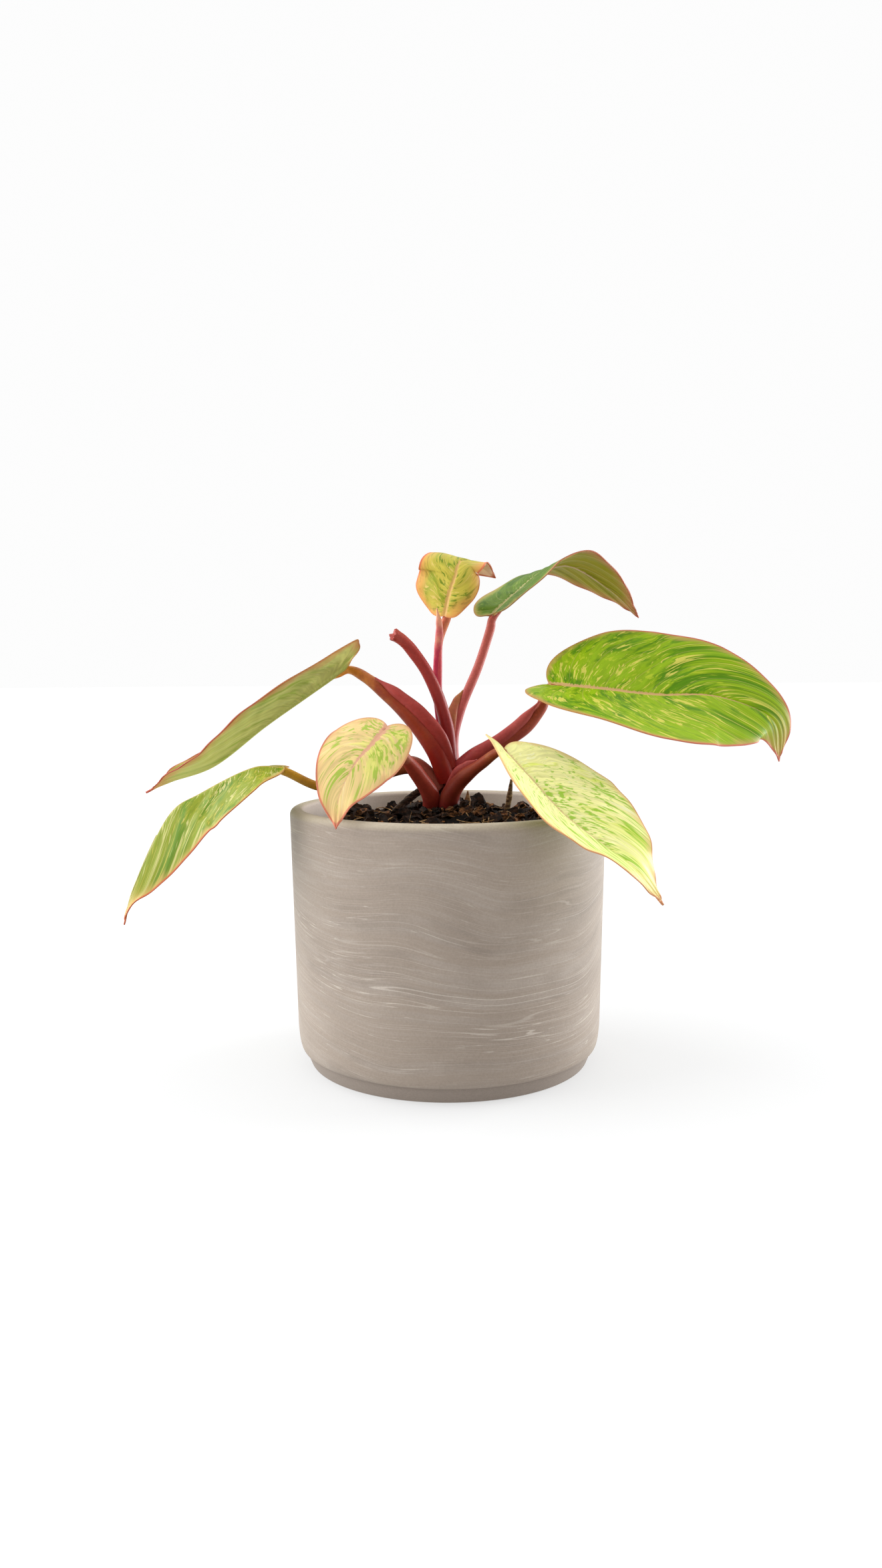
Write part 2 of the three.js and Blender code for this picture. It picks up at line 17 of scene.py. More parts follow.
import bpy
import numpy as np
from mathutils import Matrix, Vector, noise


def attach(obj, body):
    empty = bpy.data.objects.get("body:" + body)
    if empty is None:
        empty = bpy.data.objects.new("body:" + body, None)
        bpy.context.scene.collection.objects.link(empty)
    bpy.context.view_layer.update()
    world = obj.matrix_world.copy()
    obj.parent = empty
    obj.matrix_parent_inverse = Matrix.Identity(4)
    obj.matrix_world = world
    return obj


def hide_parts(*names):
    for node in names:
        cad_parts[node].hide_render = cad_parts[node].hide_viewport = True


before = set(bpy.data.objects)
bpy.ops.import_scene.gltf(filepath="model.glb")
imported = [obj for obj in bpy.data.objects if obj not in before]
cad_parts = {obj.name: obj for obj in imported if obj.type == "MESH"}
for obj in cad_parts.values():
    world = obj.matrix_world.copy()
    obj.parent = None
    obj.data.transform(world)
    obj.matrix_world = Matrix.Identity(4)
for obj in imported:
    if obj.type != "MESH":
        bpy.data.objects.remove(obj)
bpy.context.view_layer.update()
MM = 0.001

# %% [markdown]
# ## The camera first
#
# A render can only be compared with a photograph from the same spot, so the camera is placed
# before anything else. The pot's rim and foot both show as ellipses. How much the two differ gives
# the camera's height and distance, and the rim's width gives the scale. The lens follows from the
# focal length in pixels, because Blender fits its sensor to the longer side of the picture.

# %% Place the camera
PHOTO_HEIGHT = 2346  # pixels
FOCAL_LENGTH = 1730  # pixels
SENSOR = 36  # Blender's sensor size, in mm
CAMERA_PLACE = (0, -550, 184)
CAMERA_PITCH = 0.0942  # radians below the horizon
CAMERA_YAW = -0.0057
CAMERA_ROLL = -0.0065

turned = (
    Matrix.Rotation(-CAMERA_YAW, 3, "Z")
    @ Matrix.Rotation(math.pi / 2 - CAMERA_PITCH, 3, "X")
    @ Matrix.Rotation(CAMERA_ROLL, 3, "Z")
)
bpy.ops.object.camera_add(location=[c * MM for c in CAMERA_PLACE], rotation=turned.to_euler())
camera = bpy.context.active_object
camera.name = "photo_camera"
camera.data.lens = SENSOR * FOCAL_LENGTH / PHOTO_HEIGHT
camera.data.sensor_width = SENSOR
camera.data.clip_start = 0.01
bpy.context.scene.camera = camera
print("lens in mm:", round(camera.data.lens, 2))

# %% [markdown]
# ## Tools for the hand
#
# Every leaf, stalk and root here starts as the same primitive: a flat grid. Its points are then
# moved to where a rule wants them, as clay is pressed over a form. The faces stay in even rows,
# and the points keep notes, such as where on the leaf they lie, which a paint can follow round
# every bend.

# %% Selecting, moving points, welding
MEET = 0.002 * MM  # points nearer than this become one
TINY = 0.0005 * MM


def deselect():
    """Nothing is selected, so that the next operator acts only on what is added next."""
    bpy.ops.object.select_all(action="DESELECT")


def pick(piece):
    deselect()
    piece.select_set(True)
    bpy.context.view_layer.objects.active = piece


@contextmanager
def editing(select=None):
    """Edit mode for the lines below it, with all or none of the mesh selected first."""
    bpy.ops.object.mode_set(mode="EDIT")
    if select:
        bpy.ops.mesh.select_all(action=select)
    yield
    bpy.ops.object.mode_set(mode="OBJECT")


def read_all(values, field, size, kind=np.float32):
    flat = np.empty(len(values) * size, kind)
    values.foreach_get(field, flat)
    return flat.reshape(-1, size)


def read_points(piece):
    """The piece's points in mm."""
    return read_all(piece.data.vertices, "co", 3, float) / MM


def write_points(piece, points):
    """Moves the piece's points to these places in mm."""
    piece.data.vertices.foreach_set("co", (points * MM).ravel())
    piece.data.update()


def press(piece, points, heights):
    """Moves the points along their normals, by heights in mm."""
    normals = read_all(piece.data.vertex_normals, "vector", 3)
    write_points(piece, points + normals * heights[:, None])


def note_on_points(piece, name, values):
    """Keeps one number for each point, which a material can read by its name."""
    attribute = piece.data.attributes.new(name, "FLOAT", "POINT")
    attribute.data.foreach_set("value", np.asarray(values, np.float32))


def read_note(piece, name):
    return read_all(piece.data.attributes[name].data, "value", 1)[:, 0]


def grid_piece(name, rows, columns, rule):
    """A grid primitive pressed into shape. rule(u, v) gives its points in mm, u and v from 0 to 1."""
    deselect()
    bpy.ops.mesh.primitive_grid_add(x_subdivisions=rows, y_subdivisions=columns, size=1)
    piece = bpy.context.active_object
    piece.name = name
    u, v, _ = (read_all(piece.data.vertices, "co", 3, float) + 0.5).T
    note_on_points(piece, "u", u)
    note_on_points(piece, "v", v)
    write_points(piece, rule(u, v))
    return piece


def weld(piece, outwards=True):
    """Merges points that meet, and for a closed piece turns every face outwards."""
    pick(piece)
    with editing("SELECT"):
        bpy.ops.mesh.remove_doubles(threshold=MEET)
        bpy.ops.mesh.dissolve_degenerate(threshold=TINY)
        if outwards:
            bpy.ops.mesh.normals_make_consistent(inside=False)


def select_edges(piece, wanted):
    """Selects the edges whose two points, by their numbers, are wanted."""
    pick(piece)
    with editing("DESELECT"):
        bpy.ops.mesh.select_mode(type="EDGE")
    for edge in piece.data.edges:
        edge.select = bool(wanted(*edge.vertices))


def smooth_shading(piece, angle=50):
    pick(piece)
    bpy.ops.object.shade_smooth_by_angle(angle=math.radians(angle))


def modify(piece, kind, **settings):
    """Gives the piece a modifier with these settings and applies it."""
    pick(piece)
    modifier = piece.modifiers.new(kind, kind)
    for name, value in settings.items():
        setattr(modifier, name, value)
    bpy.ops.object.modifier_apply(modifier=modifier.name)


def finish_piece(piece, materials, slot, *nodes):
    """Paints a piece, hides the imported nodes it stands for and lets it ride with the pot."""
    for material in materials:
        piece.data.materials.append(material)
    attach(piece, "root")
    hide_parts(*nodes)
    print(piece.name, "has", len(piece.data.polygons), "faces")


# %% Small sums used by many cells
def smoothstep(values, low, high):
    share = np.clip((values - low) / (high - low), 0, 1)
    return share * share * (3 - 2 * share)


def unit(vectors):
    return vectors / np.maximum(np.linalg.norm(vectors, axis=-1, keepdims=True), 1e-9)


def bell(values, middle, width):
    return np.exp(-(((values - middle) / width) ** 2))


def stretch_of(count, t):
    """Which stretch between count values t lies in, and how far into it."""
    place = np.clip(t, 0, 1) * (count - 1)
    low = np.minimum(place.astype(int), count - 2)
    return low, place - low


def curve_through(points, t):
    """A smooth curve through the points. t runs from 0 to 1 with the same share for each stretch."""
    points = np.asarray(points, float)
    padded = np.vstack([2 * points[0] - points[1], points, 2 * points[-1] - points[-2]])
    low, w = stretch_of(len(points), np.asarray(t, float))
    w = w[:, None]
    before, a, b, after = (padded[low + k] for k in range(4))
    leave = (b - before) / 2
    arrive = (after - a) / 2
    cubic = (2 * a - 2 * b + leave + arrive) * w**3
    return cubic + (-3 * a + 3 * b - 2 * leave - arrive) * w**2 + leave * w + a


def direction_of(points, t):
    step = 1e-3
    return unit(curve_through(points, t + step) - curve_through(points, t - step))


def along(values, t):
    """A value at t from 0 to 1 through values set at even steps."""
    values = np.asarray(values, float)
    low, share = stretch_of(len(values), t)
    share = smoothstep(share, 0, 1)
    return values[low] * (1 - share) + values[low + 1] * share


def rough(points, size, depth, seed=0):
    """Uneven heights over the points, like a hand-made or grown surface, in mm."""
    shift = Vector((seed * 7.3, seed * 3.1, seed * 5.7))
    octaves, fading, finer = 3, 0.6, 2.1
    heights = [noise.fractal(Vector(p) / size + shift, fading, finer, octaves) for p in points]
    return depth * np.array(heights)


# %% [markdown]
# ## Tools for the brush
#
# All finishes are worked out by shader nodes. A wire is what comes out of a node. Sums can be
# written with wires as with numbers, and each sum adds a node. The helpers below stand for the
# handful of other nodes that every pattern needs.

# %% Shader helpers
WHITE = (1, 1, 1, 1)


def linear(code, share=1.0):
    """A colour as picked in a paint program, turned to the linear values that shaders expect."""
    parts = [int(code[k : k + 2], 16) / 255 for k in (1, 3, 5)]
    parts = [p / 12.92 if p < 0.04045 else ((p + 0.055) / 1.055) ** 2.4 for p in parts]
    return (*[p * share for p in parts], 1)


class Wire:
    """One output of a node."""

    def __init__(self, socket):
        self.socket, self.tree = socket, socket.id_data

    def other(self, name):
        """Another output of the same node."""
        return Wire(self.socket.node.outputs[name])

    def __add__(self, value):
        return compute("ADD", self, value)

    def __sub__(self, value):
        return compute("SUBTRACT", self, value)

    def __rsub__(self, value):
        return compute("SUBTRACT", value, self)

    def __mul__(self, value):
        return compute("MULTIPLY", self, value)

    def __truediv__(self, value):
        return compute("DIVIDE", self, value)

    def __rtruediv__(self, value):
        return compute("DIVIDE", value, self)


def fill(node, values):
    """Puts numbers, colours or wires into a node's inputs."""
    for key, value in values.items():
        if isinstance(value, Wire):
            value.tree.links.new(value.socket, node.inputs[key])
        else:
            node.inputs[key].default_value = value


def add_node(tree, kind, values=None, out=0, **settings):
    """Adds a node to a tree and gives the wire of one output."""
    made = tree.nodes.new("ShaderNode" + kind)
    for name, value in settings.items():
        setattr(made, name, value)
    fill(made, values or {})
    return Wire(made.outputs[out])


def tree_of(values):
    return next(v.tree for v in values if isinstance(v, Wire))


def compute(operation, *values, clamp=False):
    sockets = dict(enumerate(values))
    return add_node(tree_of(values), "Math", sockets, operation=operation, use_clamp=clamp)


def step_node(value, low, high, start=0.0, end=1.0):
    """Runs smoothly from start to end while value goes from low to high."""
    sockets = {0: value, 1: low, 2: high, 3: start, 4: end}
    return add_node(value.tree, "MapRange", sockets, interpolation_type="SMOOTHSTEP")


def mix_node(share, under, over, mode="MIX"):
    sockets = {0: share, 6: under, 7: over}
    tree = tree_of(sockets.values())
    return add_node(tree, "Mix", sockets, 2, data_type="RGBA", blend_type=mode)


def noise_node(vector, detail=3.0, roughness=0.55, distortion=0.0, scale=1.0):
    sockets = {"Vector": vector, "Scale": scale, "Detail": detail, "Roughness": roughness}
    return add_node(vector.tree, "TexNoise", sockets | {"Distortion": distortion})


def vector_node(*values):
    return add_node(tree_of(values), "CombineXYZ", dict(enumerate(values)))


def length_node(vector):
    return add_node(vector.tree, "VectorMath", {0: vector}, "Value", operation="LENGTH")


def shaded(colour, factor):
    """The colour multiplied by a factor round 1."""
    return mix_node(1.0, colour, vector_node(factor, factor, factor), "MULTIPLY")


def mapped(vector, scale, shift=0.0):
    """A vector scaled and shifted. One number counts for all three axes."""
    scale, shift = ((v,) * 3 if isinstance(v, (int, float)) else v for v in (scale, shift))
    return add_node(vector.tree, "Mapping", {"Vector": vector, "Location": shift, "Scale": scale})


def object_place(tree):
    """Object coordinates in millimetres."""
    return mapped(add_node(tree, "TexCoord", out="Object"), 1 / MM)


def read_attribute(tree, name):
    return add_node(tree, "Attribute", out="Fac", attribute_name=name)


def new_group(name, inputs):
    """A node group with named inputs and their usual values, which gives Color and Height."""
    group = bpy.data.node_groups.new(name, "ShaderNodeTree")
    for label, value in inputs.items():
        kind = "NodeSocketFloat" if isinstance(value, (int, float)) else "NodeSocketColor"
        socket = group.interface.new_socket(label, in_out="INPUT", socket_type=kind)
        socket.default_value = value
    for label, kind in (("Color", "NodeSocketColor"), ("Height", "NodeSocketFloat")):
        group.interface.new_socket(label, in_out="OUTPUT", socket_type=kind)
    outputs = group.nodes.new("NodeGroupInput").outputs
    given = {label: Wire(outputs[label]) for label in inputs}
    return group, given, group.nodes.new("NodeGroupOutput")


def use_group(tree, group, values):
    """Gives the group's colour and height."""
    colour = add_node(tree, "Group", values, node_tree=group)
    return colour, colour.other("Height")


def new_material(name):
    """A material with one Principled shader. Returns the material, its tree and the shader."""
    material = bpy.data.materials.new(name)
    material.use_nodes = True
    tree = material.node_tree
    return material, tree, tree.nodes["Principled BSDF"]


def coat(shader, colour, roughness, specular):
    values = {"Base Color": colour, "Roughness": roughness, "Specular IOR Level": specular}
    fill(shader, values)


def bump(shader, height, depth, strength):
    """Feeds a height to the shader's normal. depth is in mm."""
    sockets = {"Height": height, "Strength": strength, "Distance": depth * MM}
    fill(shader, {"Normal": add_node(height.tree, "Bump", sockets)})

# %% [markdown]
# ## A floor and soft light
#
# The plant stands on a white studio floor. The pot tells where the light comes from: it is bright
# on both flanks and darkest a little right of its middle, so two wide lamps stand beside it and
# slightly behind, and the camera's side is dim. Most light falls from above. The world is
# therefore brighter overhead than at the horizon, and only the camera sees it as plain white.
# The floor glows a little, like a lit table, which keeps it white far back and its shadows soft.

# %% Floor
STUDIO_SIZE = 40  # metres
PAPER = [(tone, tone, tone, 1) for tone in (0.24, 0.26)]
GLOW_REACH = (200, 2000)  # mm from the pot's axis
GLOW = (0.57, 0.7)  # at both ends of that reach

deselect()
bpy.ops.mesh.primitive_plane_add(size=STUDIO_SIZE)
floor = bpy.context.active_object
floor.name = "studio_floor"
floor_paint, tree, shader = new_material("studio floor")
place = object_place(tree)
paper = step_node(noise_node(mapped(place, 0.002), detail=2), 0.3, 0.7)
coat(shader, mix_node(paper, *PAPER), 0.8, 0.2)
glow = step_node(length_node(place), *GLOW_REACH, *GLOW)
fill(shader, {"Emission Color": WHITE, "Emission Strength": glow})
floor.data.materials.append(floor_paint)

# %% World and lamps
OVERHEAD = 1.75
HORIZON = 0.1
SEEN = 0.98  # what the camera sees of the world
LAMP_COLOUR = (0.95, 0.98, 1)
LAMP_TARGET = Vector((0, 0, 0.1))

world = bpy.data.worlds.new("studio")
bpy.context.scene.world = world
world.use_nodes = True
sky = world.node_tree
toward = add_node(sky, "TexCoord", out="Generated")
upward = add_node(sky, "SeparateXYZ", {0: toward}, "Z")
soft = step_node(upward, 0.1, 1.0, HORIZON, OVERHEAD)
seen = add_node(sky, "LightPath", out="Is Camera Ray")
strength = add_node(sky, "Mix", {0: seen, 2: soft, 3: SEEN})
fill(sky.nodes["Background"], {"Strength": strength, "Color": WHITE})
bpy.context.scene.view_settings.view_transform = "Standard"


def lamp(name, azimuth, elevation, distance, size, power):
    """A square lamp facing the plant. Azimuth 0 is the camera's side, 90 is the right."""
    deselect()
    a, e = math.radians(azimuth), math.radians(elevation)
    out = Vector((math.sin(a) * math.cos(e), -math.cos(a) * math.cos(e), math.sin(e)))
    turn = out.to_track_quat("Z", "Y").to_euler()
    bpy.ops.object.light_add(type="AREA", location=LAMP_TARGET + out * distance, rotation=turn)
    made = bpy.context.active_object
    made.name = name
    made.data.shape = "SQUARE"
    made.data.size = size
    made.data.energy = power
    made.data.color = LAMP_COLOUR
    made.visible_camera = False


lamp("left_lamp", -97, 14, 1.3, 1.8, 46)
lamp("right_lamp", 112, 5, 1.3, 0.9, 33)

# %% [markdown]
# ## The pot
#
# The real pot is cast stoneware: a round wall that widens a little upwards, a belly that turns in
# to a narrower foot, and a rounded lip. A lathe shape like this can be made with a spin. Here it
# grows ring by ring from its underside, as a potter raises a wall, because extruding and scaling
# one ring at a time shows where each measure goes. The sharp corners are rounded by a bevel last.

# %% The pot's measures, in mm
POT_HEIGHT = 122
RIM_RADIUS = 75
WALL = 6.5
FLOOR = 12
FOOT_RADIUS = 66.5
FOOT_HEIGHT = 7.6
GROOVE_RADIUS = 69.4  # where the foot meets the belly
GROOVE_HEIGHT = 7.15
STEP_RADIUS = 70.3
BELLY_RADIUS = 72.7
BELLY_HEIGHT = 24
LIP_OUTER = 3
LIP_INNER = 2
FOOT_EDGE = 0.8
INNER_CORNER = 5
INNER_RADIUS = RIM_RADIUS - WALL
POT_SIDES = 192
BELLY_RINGS = 8
WALL_RINGS = 12

# %% Raise the wall ring by ring
rings = [(GROOVE_RADIUS, GROOVE_HEIGHT)]
for k in range(BELLY_RINGS + 1):
    turn = math.pi / 2 * k / BELLY_RINGS
    ring_radius = STEP_RADIUS + (BELLY_RADIUS - STEP_RADIUS) * math.sin(turn)
    rings.append((ring_radius, FOOT_HEIGHT + (BELLY_HEIGHT - FOOT_HEIGHT) * (1 - math.cos(turn))))
for k in range(1, WALL_RINGS + 1):
    ring_radius = BELLY_RADIUS + (RIM_RADIUS - BELLY_RADIUS) * k / WALL_RINGS
    rings.append((ring_radius, BELLY_HEIGHT + (POT_HEIGHT - BELLY_HEIGHT) * k / WALL_RINGS))
rings += [(INNER_RADIUS, POT_HEIGHT), (INNER_RADIUS, FLOOR)]

deselect()
bpy.ops.mesh.primitive_circle_add(vertices=POT_SIDES, radius=FOOT_RADIUS * MM, fill_type="NGON")
pot = bpy.context.active_object
pot.name = "stoneware_pot"
radius, height = FOOT_RADIUS, 0.0
with editing("SELECT"):
    bpy.ops.mesh.flip_normals()
    bpy.ops.mesh.select_mode(type="EDGE")
    bpy.ops.mesh.region_to_loop()
    for next_radius, next_height in rings:
        rise = (0, 0, (next_height - height) * MM)
        bpy.ops.mesh.extrude_region_move(TRANSFORM_OT_translate={"value": rise})
        share = next_radius / radius
        bpy.ops.transform.resize(value=(share, share, 1))
        radius, height = next_radius, next_height
    bpy.ops.mesh.edge_face_add()
print("pot rings:", len(rings) + 1)

# %% Round its edges
NEAR_RING = 0.05


def bevel_ring(piece, radius, height, width, segments):
    """Bevels the ring of edges at this radius and height, all in mm."""
    x, y, z = read_points(piece).T
    on_ring = (abs(np.hypot(x, y) - radius) < NEAR_RING) & (abs(z - height) < NEAR_RING)
    select_edges(piece, lambda a, b: on_ring[a] and on_ring[b])
    with editing():
        bpy.ops.mesh.bevel(offset=width * MM, segments=segments, profile=0.5)


bevel_ring(pot, FOOT_RADIUS, 0, FOOT_EDGE, 3)
bevel_ring(pot, RIM_RADIUS, POT_HEIGHT, LIP_OUTER, 9)
bevel_ring(pot, INNER_RADIUS, POT_HEIGHT, LIP_INNER, 6)
bevel_ring(pot, INNER_RADIUS, FLOOR, INNER_CORNER, 5)
weld(pot)
smooth_shading(pot, 35)
print("pot measures in mm:", [round(c / MM, 1) for c in pot.dimensions])

# %% [markdown]
# ### Stoneware
#
# Seen close, the clay is a warm grey with thin whitish wisps, like strands left by the wiping of
# a wet body. They run nearly level, rise and fall a little and gather in bundles. Lines like that
# are the contour lines of a noise: where the noise is steep they are thin, where it is flat they
# spread to a haze. The noise is stretched along the ground and squeezed in height.

# %% The shared grain group
# One group gives the fine speckle that clay, soil, bark and dry leaf share. Colour and Height
# both come from the same noise, so light and dark spots match the bumps.
GREY = (0.5, 0.5, 0.5, 1)
grain, given, result = new_group(
    "grain", {"Color": GREY, "Size": 1.0, "Contrast": 0.2, "Seed": 0.0}
)
place = mapped(object_place(grain), 1.0 / given["Size"], given["Seed"])
speckle = noise_node(place, detail=4, roughness=0.65)
factor = (speckle - 0.5) * given["Contrast"] * 4 + 1
fill(result, {"Color": shaded(given["Color"], factor), "Height": speckle})

# %% The stoneware's colours and wisps
CLAY = linear("#998B7E")
CLAY_PALE = linear("#A5998E")
CLAY_DARK = linear("#8A7E73")
WISP = linear("#CCC1B5")
# Painted light: the top of the rim is painted lighter, where light falls on it from above.
RIM_PAINTED_LIGHT = linear("#B2A68E")
# Painted shade: the foot under the belly is painted darker.
FOOT_PAINTED_SHADE = linear("#7E7268")
PIT = linear("#5F564E")
# Painted light: the inner wall above the soil is painted lighter, standing in for the light that falls into
# the pot.
INNER_PAINTED_LIGHT = linear("#B6A89C")
SWELL = 26  # mm that the wisps sway up and down
LEAN_X, LEAN_Y = 0.065, -0.178  # mm that they fall for each mm to the right and to the back
WISP_LAYERS = (  # seed, cells per mm round and up the pot, lines in a swell, how thin
    (1, 0.003, 0.08, 10, 0.972),
    (8, 0.004, 0.15, 8, 0.975),
    (15, 0.005, 0.26, 7, 0.97),
    (26, 0.007, 0.5, 6, 0.97),
)

# %% Mix clouds and bands in the clay
stoneware, tree, shader = new_material("stoneware")
place = object_place(tree)
x = add_node(tree, "SeparateXYZ", {0: place}, "X")
y, height = x.other("Y"), x.other("Z")
lean = (x * LEAN_X + y * LEAN_Y) * step_node(height, 108, 60, 0.1, 1.0)
swell = noise_node(mapped(place, (0.012, 0.012, 0.009), 30), detail=1)
swayed = mapped(place, 1, vector_node(0, 0, swell * SWELL + lean))


def flowing(level, rise, seed, **how):
    """Noise stretched round the pot, which sways up and down with the swell."""
    return noise_node(mapped(swayed, (level, level, rise), seed), **how)


cloud = flowing(0.02, 0.05, 4)
colour = mix_node(step_node(cloud, 0.35, 0.65), CLAY_DARK, CLAY_PALE)
band = flowing(0.008, 0.22, 2, detail=5, roughness=0.7)
colour = mix_node(step_node(band, 0.35, 0.6, 0.2, 0.9), colour, CLAY)

# %% Draw hairs, and wisps over them
wisp = step_node(flowing(0.035, 1.9, 5, detail=4, roughness=0.7), 0.55, 0.72, 0, 0.4)
for seed, level, rise, lines, thin in WISP_LAYERS:
    waves = flowing(level, rise, seed, detail=1.5, roughness=0.45)
    crest = compute("SINE", waves * (lines * 2 * math.pi))
    where = flowing(0.007, 0.06, seed + 3, roughness=0.5)
    line = step_node(crest, thin, 1.0) * step_node(where, 0.42, 0.72)
    wisp = compute("MAXIMUM", wisp, line)
colour = mix_node(wisp * 0.6, colour, WISP)

# %% Paint light on the rim and the inside and shade on the foot, then add speckle and pits
# Painted light on the rim's top.
painted_rim_light = step_node(height, POT_HEIGHT - 4, POT_HEIGHT - 1, 0, 0.5)
colour = mix_node(painted_rim_light, colour, RIM_PAINTED_LIGHT)
# Painted light on the inside of the pot.
inside = step_node(length_node(vector_node(x, y, 0)), INNER_RADIUS + 1.5, INNER_RADIUS)
colour = mix_node(inside, colour, INNER_PAINTED_LIGHT)
# Painted shade on the foot.
painted_foot_shade = step_node(height, FOOT_HEIGHT + 0.3, FOOT_HEIGHT - 0.5, 0, 0.75)
colour = mix_node(painted_foot_shade, colour, FOOT_PAINTED_SHADE)
values = {"Color": colour, "Size": 0.9, "Contrast": 0.1, "Seed": 3.0}
colour, speckle = use_group(tree, grain, values)
pits = add_node(tree, "TexVoronoi", {"Vector": mapped(place, 0.3, 9)}, "Distance")
which = noise_node(mapped(place, 0.05, 21), detail=1)
pit = step_node(pits, 0.1, 0.05) * step_node(which, 0.55, 0.6)
colour = mix_node(pit * 0.6, colour, PIT)
coat(shader, colour, step_node(wisp, 0, 1, 0.62, 0.78), 0.3)
bump(shader, wisp * 0.5 + speckle - pit * 3, 0.1, 0.5)
finish_piece(pot, [stoneware], "pot", "pot")

# %% [markdown]
# ## The soil
#
# The potting mix is dark peat with bark chips and pale fibres standing out of it. The body is one
# closed sheet: a grid wrapped round the pot's axis, down its wall and under. Its top swells to the
# middle and is pressed with several sizes of noise, so that it crumbles at every scale. Chips and
# fibres are few shapes copied many times, each copy turned and scaled by its own chance.

# %% Press the soil body
SOIL_CROWN = 117.5
SOIL_FALL = 6.5
GAP = 0.3
SOIL_FOOT = FLOOR + GAP
SOIL_CORNER = SOIL_FOOT + INNER_CORNER
SOIL_TOP, SOIL_WALL, SOIL_EDGE = 0.72, 0.85, 0.9  # shares of the grid's length that end each part
SOIL_RADIUS = INNER_RADIUS - GAP
CHIPS, FRONT_CHIPS, FIBRES = 360, 24, 150
CHIP_SHAPES = 5


def soil_height(x, y):
    """A crown with a few lumps, and a heap at the feet of the front stalks."""
    lumps = np.sin(x * 0.21 + 1.3) * np.cos(y * 0.26) + 0.6 * np.sin(x * 0.47 - y * 0.39)
    heap = 2.5 * np.exp(-((x - 6) ** 2 + (y + 15) ** 2) / 110)
    return SOIL_CROWN - SOIL_FALL * (x * x + y * y) / INNER_RADIUS**2 + 0.9 * lumps + heap


def soil_points(u, v):
    angle = 2 * math.pi * v
    ends = [0, SOIL_TOP, SOIL_EDGE, 1]
    radius = np.interp(u, ends, [0, SOIL_RADIUS, SOIL_RADIUS - INNER_CORNER, 0])
    x, y = radius * np.cos(angle), radius * np.sin(angle)
    flat = np.stack([x, y, np.zeros(len(x))], axis=1)
    heaped = np.stack([x, y, soil_height(x, y)], axis=1)
    crumbs = rough(heaped, 7, 1.6, 1) + rough(heaped, 2.2, 0.9, 2) + rough(flat, 0.9, 0.35, 3)
    top = heaped[:, 2] + crumbs * smoothstep(SOIL_RADIUS - radius, 0, 1.2)
    share = smoothstep(u, SOIL_TOP, SOIL_WALL)
    side = top * (1 - share) + SOIL_CORNER * share
    low = np.interp(u, [SOIL_WALL, SOIL_EDGE], [SOIL_CORNER, SOIL_FOOT])
    z = np.where(u > SOIL_WALL, low, np.where(u > SOIL_TOP, side, top))
    radius = np.where((u > SOIL_TOP) & (u <= SOIL_WALL), SOIL_RADIUS, radius)
    return np.stack([radius * np.cos(angle), radius * np.sin(angle), z], axis=1)


soil = grid_piece("potting_soil", 130, 260, soil_points)
weld(soil)
smooth_shading(soil, 60)

# %% A few bark chips to copy
dice = random.Random(11)
chip_shapes = []
for k in range(CHIP_SHAPES):
    deselect()
    bpy.ops.mesh.primitive_cube_add(size=1)
    chip = bpy.context.active_object
    with editing("SELECT"):
        bpy.ops.transform.resize(value=(1, 0.2 + 0.08 * k, 0.12 + 0.025 * k))
        bpy.ops.mesh.subdivide(number_cuts=3, fractal=2.4, fractal_along_normal=0.5, seed=k + 1)
    smooth_shading(chip, 30)
    chip_shapes.append(chip)
print("faces of a chip:", [len(c.data.polygons) for c in chip_shapes])


# %% Scatter the chips
def scattered(shape, place=(0, 0, 0), turn=Matrix.Identity(3), scale=1 / MM):
    """A copy of a shape with its own mesh, its place, turn and scale put into the mesh."""
    copy = shape.copy()
    copy.data = shape.data.copy()
    bpy.context.collection.objects.link(copy)
    shift = Matrix.Translation([c * MM for c in place])
    copy.data.transform(shift @ turn.to_4x4() @ Matrix.Diagonal((*[scale * MM] * 3, 1)))
    return copy


def full_turn():
    return Matrix.Rotation(dice.uniform(0, 2 * math.pi), 3, "Z")


def anywhere(margin):
    """A place on the soil, at least margin mm from the wall."""
    angle = dice.uniform(0, 2 * math.pi)
    radius = (SOIL_RADIUS - margin) * math.sqrt(dice.random())
    x, y = radius * math.cos(angle), radius * math.sin(angle)
    return x, y, float(soil_height(x, y))


def add_chip(k, x, y, z, tilt, length):
    """Lays a chip at this place, turned any way and tilted a little."""
    turn = full_turn() @ Matrix.Rotation(dice.gauss(0, tilt), 3, "Y")
    turn = turn @ Matrix.Rotation(dice.gauss(0, 0.6), 3, "X")
    chips.append(scattered(chip_shapes[k % CHIP_SHAPES], (x, y, z), turn, length))


chips = []
for k in range(CHIPS):
    x, y, z = anywhere(6.5)
    length = dice.uniform(3, 7) if k % 3 else dice.uniform(7, 12)
    z += dice.uniform(0, 0.25) * length
    add_chip(k, x, y, z, 0.4 if k % 4 else 0.9, length)

